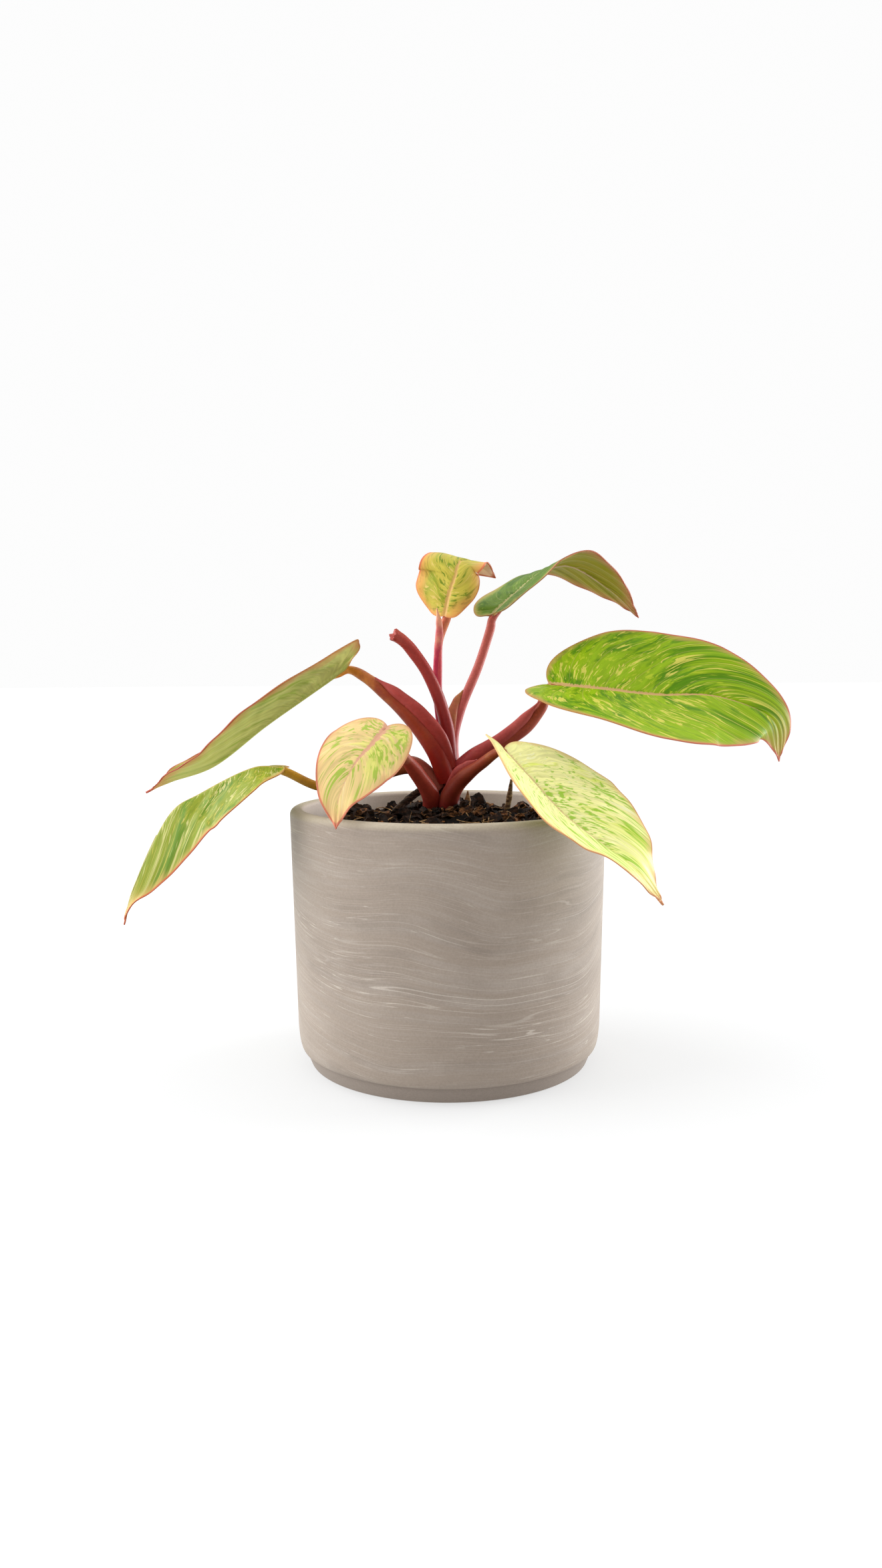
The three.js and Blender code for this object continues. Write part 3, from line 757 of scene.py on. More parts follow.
# %% Fibres: thin bent strands
deselect()
bpy.ops.mesh.primitive_cylinder_add(vertices=5, radius=0.5, depth=1)
strand = bpy.context.active_object
heights = [point.co.z for point in strand.data.vertices]
select_edges(strand, lambda a, b: abs(heights[a] - heights[b]) > 0.5)
with editing():
    bpy.ops.mesh.subdivide(number_cuts=8)
across, deep, t = read_all(strand.data.vertices, "co", 3, float).T
fibres = []
for k in range(FIBRES):
    length = dice.uniform(6, 17)
    thick = dice.uniform(0.3, 0.8) * (1 - 0.7 * np.abs(t + 0.1))
    bend = across * thick + length * dice.uniform(-0.5, 0.5) * (4 * t * t - 0.5) * 0.4
    twist = deep * thick + length * dice.uniform(-0.3, 0.3) * np.sin(5 * t) * 0.2
    lean = math.pi / 2 + dice.gauss(0, 0.16) if k % 6 else dice.uniform(0.5, 1.2)
    turn = full_turn() @ Matrix.Rotation(lean, 3, "Y")
    x, y, z = anywhere(9)
    place = np.array([x, y, z + dice.uniform(0.6, 2.0)])
    fibre = scattered(strand)
    write_points(fibre, np.stack([bend, twist, t * length], axis=1) @ np.array(turn).T + place)
    fibres.append(fibre)
print("chips and fibres:", len(chips), len(fibres))

# %% A few more chips against the feet of the front stalks
# Without them the stalks look cut off where they enter the soil.
for k in range(FRONT_CHIPS):
    x, y = dice.uniform(-14, 8), dice.uniform(-15, -9)
    length = dice.uniform(4, 8)
    add_chip(k, x, y, float(soil_height(x, y)) + dice.uniform(0.8, 3.2), 0.5, length)
print("chips now:", len(chips))


# %% Four dark and light skins
def bark_like(name, dark, light, size, roughness):
    """Dark and light stripes of wood fibre with a speckle on top."""
    material, tree, shader = new_material(name)
    place = mapped(object_place(tree), (0.3, 0.3, 0.8), size)
    fibre = step_node(noise_node(place, detail=4, roughness=0.75), 0.38, 0.7)
    colour = mix_node(fibre, linear(dark), linear(light))
    values = {"Color": colour, "Size": 0.7, "Contrast": 0.5, "Seed": size}
    colour, speckle = use_group(tree, grain, values)
    coat(shader, colour, roughness, 0.15)
    bump(shader, speckle, 0.25, 0.8)
    return material


peat = bark_like("peat", "#050302", "#1A1008", 1.0, 0.9)
bark = bark_like("bark", "#080503", "#3A2212", 2.0, 0.8)
red_bark = bark_like("red_bark", "#1C0F08", "#8C5C36", 7.0, 0.8)
straw = bark_like("straw", "#6A4828", "#B89468", 3.0, 0.75)

# %% Join chips and fibres with the soil
for shape in (*chip_shapes, strand):
    bpy.data.objects.remove(shape)
soil.data.materials.append(peat)
for k, chip in enumerate(chips):
    chip.data.materials.append(red_bark if k % 4 == 1 else bark)
for fibre in fibres:
    fibre.data.materials.append(straw)
pick(soil)
for part in (*chips, *fibres):
    part.select_set(True)
bpy.ops.object.join()
finish_piece(soil, [], "soil", "soil")

# %% [markdown]
# ## Seven blades
#
# A leaf of this kind starts flat: two lobes beside the notch where the stalk arrives, a broad
# middle and a drawn-out tip. Growth then bends it. The midrib arches, each half rises or hangs
# beside it, and its margin curls. One rule with a few numbers for each leaf describes all seven,
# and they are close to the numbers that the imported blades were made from.
#
# The rows of the grid follow the side veins. They fan out of the notch and sweep towards the tip.

# %% The seven sets of numbers
# rib: points along the midrib from the notch to the tip. face: where the upper side looks, at the
# notch, the middle and the tip. half and lobe: width and backward reach of the left and the right
# half. rise and curl: the angles of each half beside the rib, again at three places.
# Some leaves differ from the usual in more. spur draws out a lobe's corner, fold moves the curl
# towards the rim, wave and waves ripple the outline, nick dents the rib before the tip, furrow is
# the depth of the rib, and uneven and frill are the heights of the skin and of the rim, in mm.
USUAL = dict(
    spur=(0, 0), fold=(1, 1), wave=0, waves=17, nick=0, furrow=0.35, uneven=0.35, frill=0.3
)
LEAVES = {
    "blade_1": dict(
        rib=[
            (-49, 10, 188), (-69, 9, 174), (-89, 10, 160),
            (-114, 13, 141), (-136, 16, 133), (-150, 21, 127),
        ],
        face=[(0.1, -0.1, 1), (-0.1, -0.2, 0.9), (-0.3, -0.1, 0.9)],
        half=(20, 26), lobe=(19, 3), spur=(3.5, 0), uneven=0.9,
        rise=[(43, 49, 36), (-11, 12, 58)],
        curl=[(-9, -11, 14), (5, -6, 10)],
    ),
    "blade_2": dict(
        rib=[
            (-75, -19, 142), (-90, -21, 142), (-113, -24, 131),
            (-127, -30, 121), (-142, -35, 90), (-145, -43, 74),
        ],
        face=[(-0.3, -0.1, 1), (-0.5, -0.4, 0.7), (-0.9, -0.3, 0.2)],
        half=(31, 23), lobe=(1, 6), frill=0.12,
        rise=[(-10, -22, -32), (-8, -42, -40)],
        curl=[(11, 18, -31), (15, -5, -19)],
    ),
    "blade_3": dict(
        rib=[(-27, -30, 161), (-34, -41, 153), (-40, -51, 146), (-46, -61, 133), (-47, -69, 120)],
        face=[(0, -0.9, 0.5), (0, -0.9, 0.4), (-0.1, -1, 0.2)],
        half=(17, 18), lobe=(9, 4), furrow=0.12,
        rise=[(5, 1, 16), (1, 4, 13)],
        curl=[(-12, -17, -8), (-9, -16, -3)],
    ),
    "blade_4": dict(
        rib=[(-1, 8, 212), (1, 5, 221), (4, 3, 230), (7, 8, 238), (15, 17, 238), (24, 21, 231)],
        face=[(-0.4, -0.9, 0.3), (0.1, -0.6, 0.6), (0.1, 0.95, 0.3)],
        half=(20, 13.5), lobe=(4, 1), fold=(1, 1.6), wave=0.07, waves=21, nick=1.4,
        rise=[(-5, -4, -10), (10, 5, -20)],
        curl=[(-15, -15, -20), (-70, -80, -10)],
    ),
    "blade_5": dict(
        rib=[(22, 18, 213), (33, 23, 223), (48, 30, 235), (63, 37, 238), (84, 44, 226), (99, 51, 213)],
        face=[(-0.2, -0.5, 0.9), (0.2, 0.1, 0.9), (0.7, 0.6, 0.5)],
        half=(20, 21), lobe=(9, -1),
        rise=[(10, -5, 4), (17, 17, 6)],
        curl=[(-11, -5, -6), (7, -9, 0)],
    ),
    "blade_6": dict(
        rib=[(49, 3, 179), (72, -2, 177), (98, -4, 174), (127, -5, 173), (153, -5, 162), (158, -1, 142)],
        face=[(-0.1, -0.5, 0.9), (0, -0.7, 0.7), (0.5, -0.7, 0.4)],
        half=(37, 43), lobe=(8, 16), frill=0.15,
        rise=[(13, 13, 0), (20, 8, -16)],
        curl=[(6, -6, -26), (-7, 10, -22)],
    ),
    "blade_7": dict(
        rib=[(25, -38, 151), (37, -46, 138), (50, -56, 124), (66, -66, 112), (77, -74, 104), (89, -79, 89)],
        face=[(0.6, -0.4, 0.9), (0.3, -0.5, 0.6), (0.4, -0.2, 0.6)],
        half=(36, 26), lobe=(6, 12),
        rise=[(12, 11, -5), (19, 20, 18)],
        curl=[(-15, -13, 4), (0, 6, -11)],
    ),
}
LEAVES = {name: USUAL | numbers for name, numbers in LEAVES.items()}
print("blades:", len(LEAVES))

# %% The leaf rule
BLADE_ROWS = 160
BLADE_COLUMNS = 64
FLAT_TIP = (0.8, 0.97)  # shares of the midrib between which the halves flatten out
LOBE_TURN = 0.6
SPUR_AT = 0.19  # share of the rim, from the notch, where a spur stands out
SWEEP = 0.17  # how far a side vein runs forward across the rows on its way to the rim
BEND_STEPS = 8


def stations(values, t):
    """A smooth curve through three values, set at the notch, the middle and the tip."""
    a, b, c = values
    return a + (-3 * a + 4 * b - c) * t + (2 * a - 4 * b + 2 * c) * t * t


def outline_width(turn):
    base = np.clip(np.sin(turn), 0, 1) ** 1.15
    return base * np.clip(1 - (turn / math.pi) ** 2.2, 0, 1) ** 1.25


WIDEST = outline_width(np.linspace(0, math.pi, 181)).max()


def row_start(turn, length):
    """Where a row leaves the midrib, in mm from the notch."""
    share = turn / math.pi
    blend = smoothstep(share, 0.6, 1)
    return length * (share**1.5 * (1 - blend) + (1 - np.cos(turn)) / 2 * blend)


def midrib(points):
    """Fine points of the midrib with the distance walked to each."""
    t = np.linspace(0, 1, 241)
    steps = np.linalg.norm(np.diff(curve_through(points, t), axis=0), axis=1)
    return t, np.concatenate([[0], np.cumsum(steps)])


def frame_on(leaf, x):
    """The midrib's share, point, direction, upper side and right side at x mm from the notch."""
    fine, walked = midrib(leaf["rib"])
    t = np.interp(x, walked, fine)
    ahead = direction_of(leaf["rib"], t)
    centre = curve_through(leaf["rib"], t) + ahead * np.minimum(x, 0)[:, None]
    face = np.stack([stations(axis, t) for axis in zip(*leaf["face"])], axis=1)
    face = unit(face - (face * ahead).sum(1, keepdims=True) * ahead)
    return t, centre, ahead, face, np.cross(ahead, face)


def by_half(pair, is_left):
    return np.where(is_left, *pair)


def flat_point(leaf, u, v):
    """Where a grid point lies on the flat leaf: x along the rib, y out from it, and more."""
    length = midrib(leaf["rib"])[1][-1]
    turn = math.pi * u
    is_left = v > 0.5
    out = np.abs(1 - 2 * v) ** 1.15
    wave = leaf["wave"] * np.sin(u * leaf["waves"] + 2.0 * is_left)
    half = by_half(leaf["half"], is_left)
    width = half * outline_width(turn) / WIDEST * (1 + wave)
    back = turn / LOBE_TURN
    rim_x = length * (1 - np.cos(turn)) / 2
    rim_x = rim_x - by_half(leaf["lobe"], is_left) * back * np.exp((1 - back**2) / 2)
    rim_x = rim_x - by_half(leaf["spur"], is_left) * bell(u, SPUR_AT, 0.035)
    start = row_start(turn, length)
    x = start + (rim_x - start) * out**1.3
    to_rim = (1 - out) * np.hypot(rim_x - start, width)
    return x, width * out, out, is_left, half, length, to_rim


def bent_points(leaf, u, v):
    """Points of the blade's middle sheet in mm."""
    x, y, _, is_left, half, _, _ = flat_point(leaf, u, v)
    t, centre, _, face, across = frame_on(leaf, x)
    opened = 1 - smoothstep(t, *FLAT_TIP)
    rise, curl = (
        by_half([stations(values, t) for values in leaf[key]], is_left) for key in ("rise", "curl")
    )
    fold = by_half(leaf["fold"], is_left)
    side = np.where(is_left, -1, 1)
    for k in range(BEND_STEPS):
        share = (y / half) * (k + 0.5) / BEND_STEPS
        angle = np.radians((rise + curl * share**fold) * opened)
        centre = centre + across * (side * np.cos(angle) * y / BEND_STEPS)[:, None]
        centre = centre + face * (np.sin(angle) * y / BEND_STEPS)[:, None]
    return centre


# %% [markdown]
# A living blade is not smooth. Each side vein lies in a shallow furrow with the skin swelling
# between, the rim waves a little, and below the midrib stands out as a keel. These small heights
# are pressed into the sheet along its normals. Solidify then gives the sheet its thickness, and
# the keel is drawn down on the lower skin only.

# %% Press, thicken and weld one blade
BLADE_THICKNESS = 0.5
KEEL = 1.1
VEIN_DEPTH = 0.2
VEIN_STEP = 11.0  # mm between side veins along the rib
NICK_AT = 0.62  # share of the midrib
UNEVEN_SIZE = 14  # mm from one swelling of the skin to the next


def make_blade(name, leaf, skins, seed):
    piece = grid_piece(
        name + "_leaf", BLADE_ROWS, BLADE_COLUMNS, lambda u, v: bent_points(leaf, u, v)
    )
    weld(piece, outwards=False)
    u, v = read_note(piece, "u"), read_note(piece, "v")
    x, y, out, is_left, _, length, to_rim = flat_point(leaf, u, v)
    vein_at = length * (u - SWEEP * out**1.4 * smoothstep(u, 0, 0.45))
    note_on_points(piece, "vein_at", vein_at)
    note_on_points(piece, "vein_out", np.where(is_left, -y, y))
    note_on_points(piece, "to_rim", to_rim)
    note_on_points(piece, "reach", x / length)

    points = read_points(piece)
    inside = smoothstep(y, 0.5, 4) * smoothstep(to_rim, 0, 5) * (1 - 0.7 * smoothstep(u, 0.5, 0.8))
    veins = np.cos(vein_at * 2 * math.pi / VEIN_STEP + 0.6 * np.sin(vein_at / 9))
    height = -VEIN_DEPTH * veins * inside
    height += rough(points, UNEVEN_SIZE, leaf["uneven"], seed) * inside
    furrow = leaf["furrow"] + leaf["nick"] * bell(x / length, NICK_AT, 0.06)
    height -= furrow * bell(y, 0, 0.9) * smoothstep(u, 0, 0.03)
    height += leaf["frill"] * np.sin(vein_at * 0.55) * np.exp(-to_rim / 3)
    press(piece, points, height)

    for skin in skins:
        piece.data.materials.append(skin)
    thickness = BLADE_THICKNESS * MM
    lower_skin = dict(material_offset=1, material_offset_rim=0)
    modify(piece, "SOLIDIFY", thickness=thickness, offset=0, **lower_skin)

    both = read_points(piece)
    upper, lower = both[: len(points)], both[len(points) :]
    keel = KEEL * np.clip(1 - x / length, 0, 1) * bell(y, 0, 1.1)
    both[len(points) :] = lower + unit(lower - upper) * keel[:, None]
    write_points(piece, both)
    weld(piece)
    smooth_shading(piece, 60)
    return piece


# %% [markdown]
# ## Painting the blades
#
# No two leaves of this plant look alike, yet all are painted by the same steps. On a ground colour
# lie soft patches, then sharp streaks and small flecks along the side veins, then a few dark dots.
# The margin blushes, a thin line runs round the rim, and the midrib keeps its own colour with a
# frayed edge. So there is one node group for all leaves, and each leaf is a row of colours and
# shares. The pattern is drawn in vein coordinates kept on the mesh, in millimetres: where a side
# vein leaves the rib, and how far out along it a point lies.

# %% The leaf paint group
SHADES = ("Ground", "Patch", "Streak", "Fleck", "Blush", "Rib", "Rim")
SHARES = {
    "Patches": 0.5,  # share of the blade under patches
    "Streaks": 0.25,
    "Flecks": 0.3,
    "Fleck start": -0.6,  # share of the length where flecks grow dense
    "Dots": 0.0,
    "Blush reach": 4.0,  # mm from the rim
    "Rib width": 1.0,  # mm to each side
    "Rib reach": 0.75,  # share of the blade's length
    "Rim width": 0.6,  # mm
    "Veins": 0.25,  # how strongly the side veins show
    "Seed": 0.0,
}
NOTES = ("Vein at", "Vein out", "To rim", "Reach")  # kept on the points, in mm or as a share
DOT = linear("#4A3A1E")
WANDER = 9.0  # mm that the side veins drift to and fro

inputs = dict.fromkeys(NOTES, 0.0) | dict.fromkeys(SHADES, WHITE) | SHARES
paint, given, result = new_group("leaf paint", inputs)
vein_at, vein_out, to_rim, reach = (given[name] for name in NOTES)


# %% Noise along the veins
def vein_place(at, along_rib, along_vein, shift=0.0):
    """Vein coordinates, with so many cells per mm along the rib and along the vein."""
    return vector_node(at * along_rib, vein_out * along_vein, given["Seed"] + shift)


wavy_at = noise_node(vein_place(vein_at, 0.09, 0.07), detail=2) * WANDER + vein_at


def vein_noise(along_rib, along_vein, shift, **how):
    return noise_node(vein_place(wavy_at, along_rib, along_vein, shift), **how)


def share_mask(value, share, soft):
    """1 on about this share of the surface, from a noise value round one half."""
    edge = share * -0.42 + 0.71
    return step_node(value, edge, edge + soft)


def paint_over(colour, mask, name, strength=1.0):
    return mix_node(mask * strength, colour, given[name])


# %% Patches and fine lines
patch = vein_noise(0.3, 0.1, 1, detail=4, roughness=0.6, distortion=0.6)
patch += vein_noise(0.055, 0.045, 11, detail=2) * 0.9 - 0.45
colour = paint_over(given["Ground"], share_mask(patch, given["Patches"], 0.22), "Patch", 0.9)
fine = vein_noise(0.8, 0.07, 4, detail=2, roughness=0.6)
fine = (fine - 0.5) * step_node(vein_at, 3, 16) + 0.5  # fades out at the notch
colour = shaded(colour, step_node(fine, 0.3, 0.7, 0.88, 1.12))

# %% Flecks and streaks
gather = vein_noise(0.11, 0.07, 31, detail=2) * 0.55 - 0.275  # flecks and streaks keep apart
fleck = vein_noise(0.78, 0.36, 17, roughness=0.5, distortion=0.1) - gather
denser = step_node(reach - given["Fleck start"], -0.3, 0.2, 0.3, 1.0)
colour = paint_over(colour, share_mask(fleck, given["Flecks"] * denser, 0.12), "Fleck", 0.85)
streak = vein_noise(0.8, 0.14, 23, roughness=0.6, distortion=0.2) + gather
colour = paint_over(colour, share_mask(streak, given["Streaks"], 0.05), "Streak", 0.9)

# %% Blush, side veins and midrib
blush_at = to_rim + (vein_noise(0.16, 0.16, 41) * 10.0 - 5.0)
colour = paint_over(colour, step_node(blush_at, given["Blush reach"], 0.0), "Blush", 0.8)
colour = paint_over(colour, step_node(reach, 0.8, 0.96), "Blush", 0.75)

to_vein = 0.5 - compute("PINGPONG", vein_at / VEIN_STEP, 0.5)
vein = step_node(to_vein, 0.47, 0.5)
colour = paint_over(colour, vein, "Rib", given["Veins"])

left_over = compute("SUBTRACT", 1.0, reach / given["Rib reach"], clamp=True)
fray = vein_noise(0.9, 0.25, 53) * 4.0 - 2.0
to_rib = compute("ABSOLUTE", vein_out) + fray * left_over
past_rib = to_rib - left_over * given["Rib width"]
colour = paint_over(colour, step_node(past_rib, 0.35, -0.15), "Rib", 0.95)

# %% Dots, rim and relief
dot_place = {"Vector": vein_place(vein_at, 0.14, 0.14), "Randomness": 1.0}
cells = add_node(paint, "TexVoronoi", dot_place, "Distance")
chance = add_node(paint, "SeparateColor", {0: cells.other("Color")})
dot = step_node(cells, 0.065, 0.045) * compute("LESS_THAN", chance, given["Dots"])
colour = mix_node(dot * 0.85, colour, DOT)

rim_line = step_node(to_rim - given["Rim width"], 0.35, -0.1)
redder = step_node(reach, 0.0, 0.5, 0.4, 0.9)
colour = paint_over(colour, rim_line, "Rim", redder)
colour = paint_over(colour, step_node(reach, 0.95, 1.0), "Rim", 0.8)
fill(result, {"Color": colour, "Height": fine * 0.5 + vein * -0.8})
print("nodes in the leaf paint:", len(paint.nodes))

# %% Mix a skin from the group
# The colours below are picked as they look in the light. The paint itself is darker by this share.
IN_THE_LIGHT = 0.78


def skin_row(codes, **shares):
    """One skin: a colour for each of the SHADES, and the shares that aren't the usual ones."""
    colours = [linear(code, IN_THE_LIGHT) for code in codes.split()]
    shares = {name.replace("_", " ").capitalize(): share for name, share in shares.items()}
    return dict(zip(SHADES, colours)) | SHARES | shares


def leaf_skin(name, row, roughness, shine, relief):
    skin, tree, shader = new_material(name)
    notes = {note: read_attribute(tree, note.lower().replace(" ", "_")) for note in NOTES}
    colour, height = use_group(tree, paint, notes | row)
    coat(shader, colour, roughness, shine)
    bump(shader, height, relief, 0.4)
    return skin


# %% The leaves' colours
# An upper and an under skin for each blade.
LEAF_PAINT = {
    "blade_6": (
        skin_row(
            "#92B410 #528800 #DED45E #B8C82C #C4A858 #DCB078 #D2705C",
            patches=0.6, streaks=0.3, rib_width=1.5, seed=1,
        ),
        skin_row(
            "#9AA04E #7F8C3A #BDB978 #A8AC5C #BE945C #C2907A #C86E50", streaks=0.15, veins=0.6, seed=2
        ),
    ),
    "blade_7": (
        skin_row(
            "#FCF8AA #E4EE68 #FFFCC8 #96CA1C #EED088 #E8CC92 #DC9669",
            patches=0.45, flecks=0.54, fleck_start=0.3, streaks=0.14, dots=0.14, veins=0.08,
            rib_width=0.7, rim_width=0.35, seed=3,
        ),
        skin_row("#CDD37F #BFCB68 #DADB96 #A9BC50 #D6BE76 #D2B47C #DC9669", seed=4),
    ),
    "blade_3": (
        skin_row(
            "#F8D894 #E6E476 #FAE2A8 #A4C63A #F4C488 #EBB090 #D87860",
            patches=0.6, flecks=0.46, streaks=0.16, dots=0.16, veins=0.1,
            rib_width=1.5, rib_reach=0.6, seed=5,
        ),
        skin_row("#D8BC7C #CBC872 #DECB8E #B4BA58 #D4A070 #D29874 #D2735A", seed=6),
    ),
    "blade_4": (
        skin_row(
            "#CEBE4A #9CA82C #E8CC70 #5E8410 #F4A85C #E2B469 #DC7450",
            patches=0.55, streaks=0.2, flecks=0.4, blush_reach=8.0,
            rib_width=1.3, rib_reach=0.9, rim_width=0.9, seed=7,
        ),
        skin_row(
            "#F0DCA0 #DCD690 #F4E0B0 #DCD894 #FFD4B4 #E8B090 #D87858", blush_reach=6.0, seed=8
        ),
    ),
    "blade_5": (
        skin_row(
            "#5C7A16 #3A6008 #B4B57A #7A9434 #AAA050 #BCB47C #C4735A", streaks=0.08, flecks=0.2, seed=9
        ),
        skin_row(
            "#A09A22 #868416 #B8A444 #A89A2C #CA905A #CEB086 #C46950",
            streaks=0.15, flecks=0.2, veins=0.7, blush_reach=6.0, seed=10,
        ),
    ),
    "blade_2": (
        skin_row("#8A962A #5A8010 #C8C078 #BCB044 #CDAA5F #BEA55F #C86441", streaks=0.32, seed=11),
        skin_row("#A0AA5A #8CA04B #BEC38C #AFB464 #C8A05F #B4AA64 #C86441", seed=12),
    ),
    "blade_1": (
        skin_row("#8CA03C #738C2D #B4B46E #A0AA50 #C39650 #BEA05A #B44B37", seed=13),
        # The under skin's pale green is partly its own colour and partly painted light, lightened for the
        # light that shines through the leaf.
        skin_row(
            "#DEE282 #AEC850 #F2ECA8 #E6BC70 #E8A468 #C8CC6C #C0503A",
            streaks=0.08, flecks=0.05, blush_reach=6.0, rib_width=0.6, seed=14,
        ),
    ),
}

# %% Make all seven
BLADE_SLOTS = {"blade_7": "blade_pale", "blade_3": "blade_peach", "blade_4": "blade_peach"}
SHINE = {"blade_6": 0.1, "blade_2": 0.08}
USUAL_SHINE = 0.13
UNEVEN_SEED = 29
for seed, (name, leaf) in enumerate(LEAVES.items(), UNEVEN_SEED):
    upper, under = LEAF_PAINT[name]
    skins = [
        leaf_skin(name + "_upper", upper, 0.4, SHINE.get(name, USUAL_SHINE), 0.1),
        leaf_skin(name + "_under", under, 0.5, USUAL_SHINE, 0.05),
    ]
    blade = make_blade(name, leaf, skins, seed)
    finish_piece(blade, [], BLADE_SLOTS.get(name, "blade"), name)

# %% [markdown]
# ## Stalks, stem and root
#
# Each blade hangs on a round, waxy stalk. At its foot the stalk widens to a sheath that once
# wrapped the next leaf, and the sheath ends in a free point. A stalk is a grid rolled to a tube
# along a curve. Its sheath is a second, flatter tube, and a Boolean union makes them one skin with
# the crease between them that the photograph shows.

# %% The stalks' numbers, in mm
# path and radii: points along the tube and its radii at even steps. skin: the colours of the
# foot, the middle and the top, and the share of the length where the middle gives way to the top.
# A sheath is flattened, and tuck shifts a stalk's end along the midrib.
STALKS = {
    "petiole_7": dict(
        path=[(-1, -6, 104), (0, -6, 117), (1, -9, 127), (7, -15, 136), (15, -24, 143)],
        radii=[4, 4.4, 4.4, 3.6, 2.6, 2, 1.3],
        # The foot's deep crimson is partly the stalk's own colour and partly painted shade round the crown.
        skin=("#701818 #8E3A24 #A0622E", 0.6),
        sheath=dict(
            path=[(1, -8, 129), (5, -13, 138), (9, -17, 142), (13.6, -20.5, 145)],
            radii=[3.2, 3, 2.2, 0.4], flat=0.6, skin=("#8E2422 #A2403A #B85C50", 0.5),
        ),
    ),
    "petiole_3": dict(
        path=[(-7, -2, 104), (-8, -3, 117), (-8, -7, 127), (-14, -13, 138), (-20.5, -21, 147.5)],
        radii=[4, 4.2, 4.2, 3.6, 2.6, 1.6, 1.2],
        # The foot's deep crimson is partly the stalk's own colour and partly painted shade round the crown.
        skin=("#7E1C1A #A8402E #E0A484", 0.5),
        tuck=1.5,
    ),
    "petiole_1": dict(
        path=[(0, -2, 134), (-5.8, -5, 148.6), (-14.6, -4, 161.2), (-27, 0, 173.8), (-39, 5, 183)],
        radii=[4.6, 4.5, 4.1, 3.5, 2.6, 2, 1.2],
        skin=("#8A1C12 #903414 #F0A040", 0.36),
        sheath=dict(
            path=[(1, -3, 140), (-3.4, -6, 154), (-12, -6, 165.5), (-23, -4, 175), (-34, 0, 182.8)],
            radii=[3.4, 3.6, 3.2, 2.5, 0.4], flat=0.75, skin=("#92281E #AC423A #C05250", 0.5),
        ),
    ),
    "petiole_6": dict(
        path=[(3, 0, 136), (12, -1, 144.5), (24, 0, 151), (36, 1, 158), (44.5, 2, 167.5)],
        radii=[4.4, 4.2, 3.9, 3.4, 2.8, 2.3, 1.5],
        skin=("#983030 #A84A2E #A05A28", 0.6),
        sheath=dict(
            path=[
                (6, -1.5, 141), (15, -2.5, 147.5), (26, -2.5, 154.2),
                (35.7, -1.5, 162.3), (43.6, -1, 171),
            ],
            radii=[3, 3, 2.8, 2.4, 0.4], flat=0.75, skin=("#A43C38 #BC544C #C86062", 0.6),
        ),
    ),
    "petiole_2": dict(
        path=[(-4, 1, 130), (-16, -2, 141), (-28, -7, 139), (-44, -11, 134), (-59, -15, 132.5)],
        radii=[4.4, 4.5, 3.4, 2.3, 2.1, 2, 1.3],
        skin=("#A05040 #A46C1C #CC9C1C", 0.46),
    ),
    "cut_petiole": dict(
        path=[
            (1, 3, 136), (0.5, 2, 154), (-3, 0, 170), (-9, -3, 184.5),
            (-16, -5, 195), (-20.5, -7, 200), (-25, -8.2, 203),
        ],
        radii=[4, 3.4, 3, 2.8, 2.8, 2.7, 2.8],
        skin=("#8C2220 #A0342A #A84438", 0.7),
    ),
    "petiole_4": dict(
        path=[(1, 8, 134), (-1.6, 10, 155), (-4, 10.5, 171), (-4.2, 10, 187), (-3.7, 9.5, 200)],
        radii=[3, 2.3, 1.9, 1.9, 2, 2.1, 1.3],
        skin=("#AC2A3C #CC4654 #D0884E", 0.34),
        sheath=dict(
            path=[
                (-2.4, 8.5, 150), (-5, 9, 171), (-5.2, 9, 187),
                (-3.6, 8.5, 202), (-3.5, 7.3, 208), (-4.6, 5.5, 215.5),
            ],
            radii=[1.5, 1.4, 1.4, 1.9, 1.6, 0.3], flat=0.8, skin=("#A82440 #BC304C #F0B088", 0.4),
        ),
    ),
    "petiole_5": dict(
        path=[
            (3, 6, 134), (2.6, 7.5, 152), (5, 9.5, 163),
            (9, 12, 173.5), (15.3, 15.5, 188), (21, 18.8, 205),
        ],
        radii=[3.2, 2.8, 2.5, 2.3, 2.2, 2.2, 2, 1.3],
        skin=("#AC4644 #BC5C50 #A44A3A", 0.6),
        sheath=dict(
            path=[(2.2, 6, 146), (1.6, 6.5, 155), (2.2, 7.5, 164), (4.4, 9.5, 171), (7.8, 12, 176.5)],
            radii=[2.6, 2.8, 2.6, 1.9, 0.4], flat=0.7, skin=("#A84C3C #B07640 #C06450", 0.5),
        ),
    ),
}
print("stalks:", len(STALKS))

# %% Roll a tube along a curve
CAP = 0.02  # share of a tube's length that closes each end
USUAL_TUCK = -1.0
TIP_RADIUS = 0.5
WOBBLE = 0.012


def tube_points(path, radii, flat, u, v, wobble):
    """A closed tube on a smooth path, round or flattened front to back."""
    t = np.clip((u - CAP) / (1 - 2 * CAP), 0, 1)
    ahead = direction_of(path, np.clip(t, 0.001, 0.999))
    side = unit(np.cross(ahead, (0, -1, 0)))
    front = unit(np.cross(side, ahead))
    to_end = np.clip(np.minimum(u, 1 - u) / CAP, 0, 1)
    cap = np.sqrt(np.clip(1 - (1 - to_end) ** 2, 0, 1))
    angle = 2 * math.pi * v
    radius = along(radii, t) * cap * (1 + wobble * np.sin(u * 31 + 2 * np.sin(angle)))
    centre = curve_through(path, t) + side * (radius * np.cos(angle))[:, None]
    return centre + front * (radius * flat * np.sin(angle))[:, None]


def make_tube(name, path, radii, flat=1.0, rows=90, sides=32, wobble=0.0):
    piece = grid_piece(
        name, rows, sides, lambda u, v: tube_points(path, radii, flat, u, v, wobble)
    )
    weld(piece)
    return piece


def unite(piece, other):
    """Adds another closed piece to this one with a Boolean and removes the other."""
    how = dict(operation="UNION", solver="EXACT", material_mode="TRANSFER")
    modify(piece, "BOOLEAN", object=other, **how)
    bpy.data.objects.remove(other)


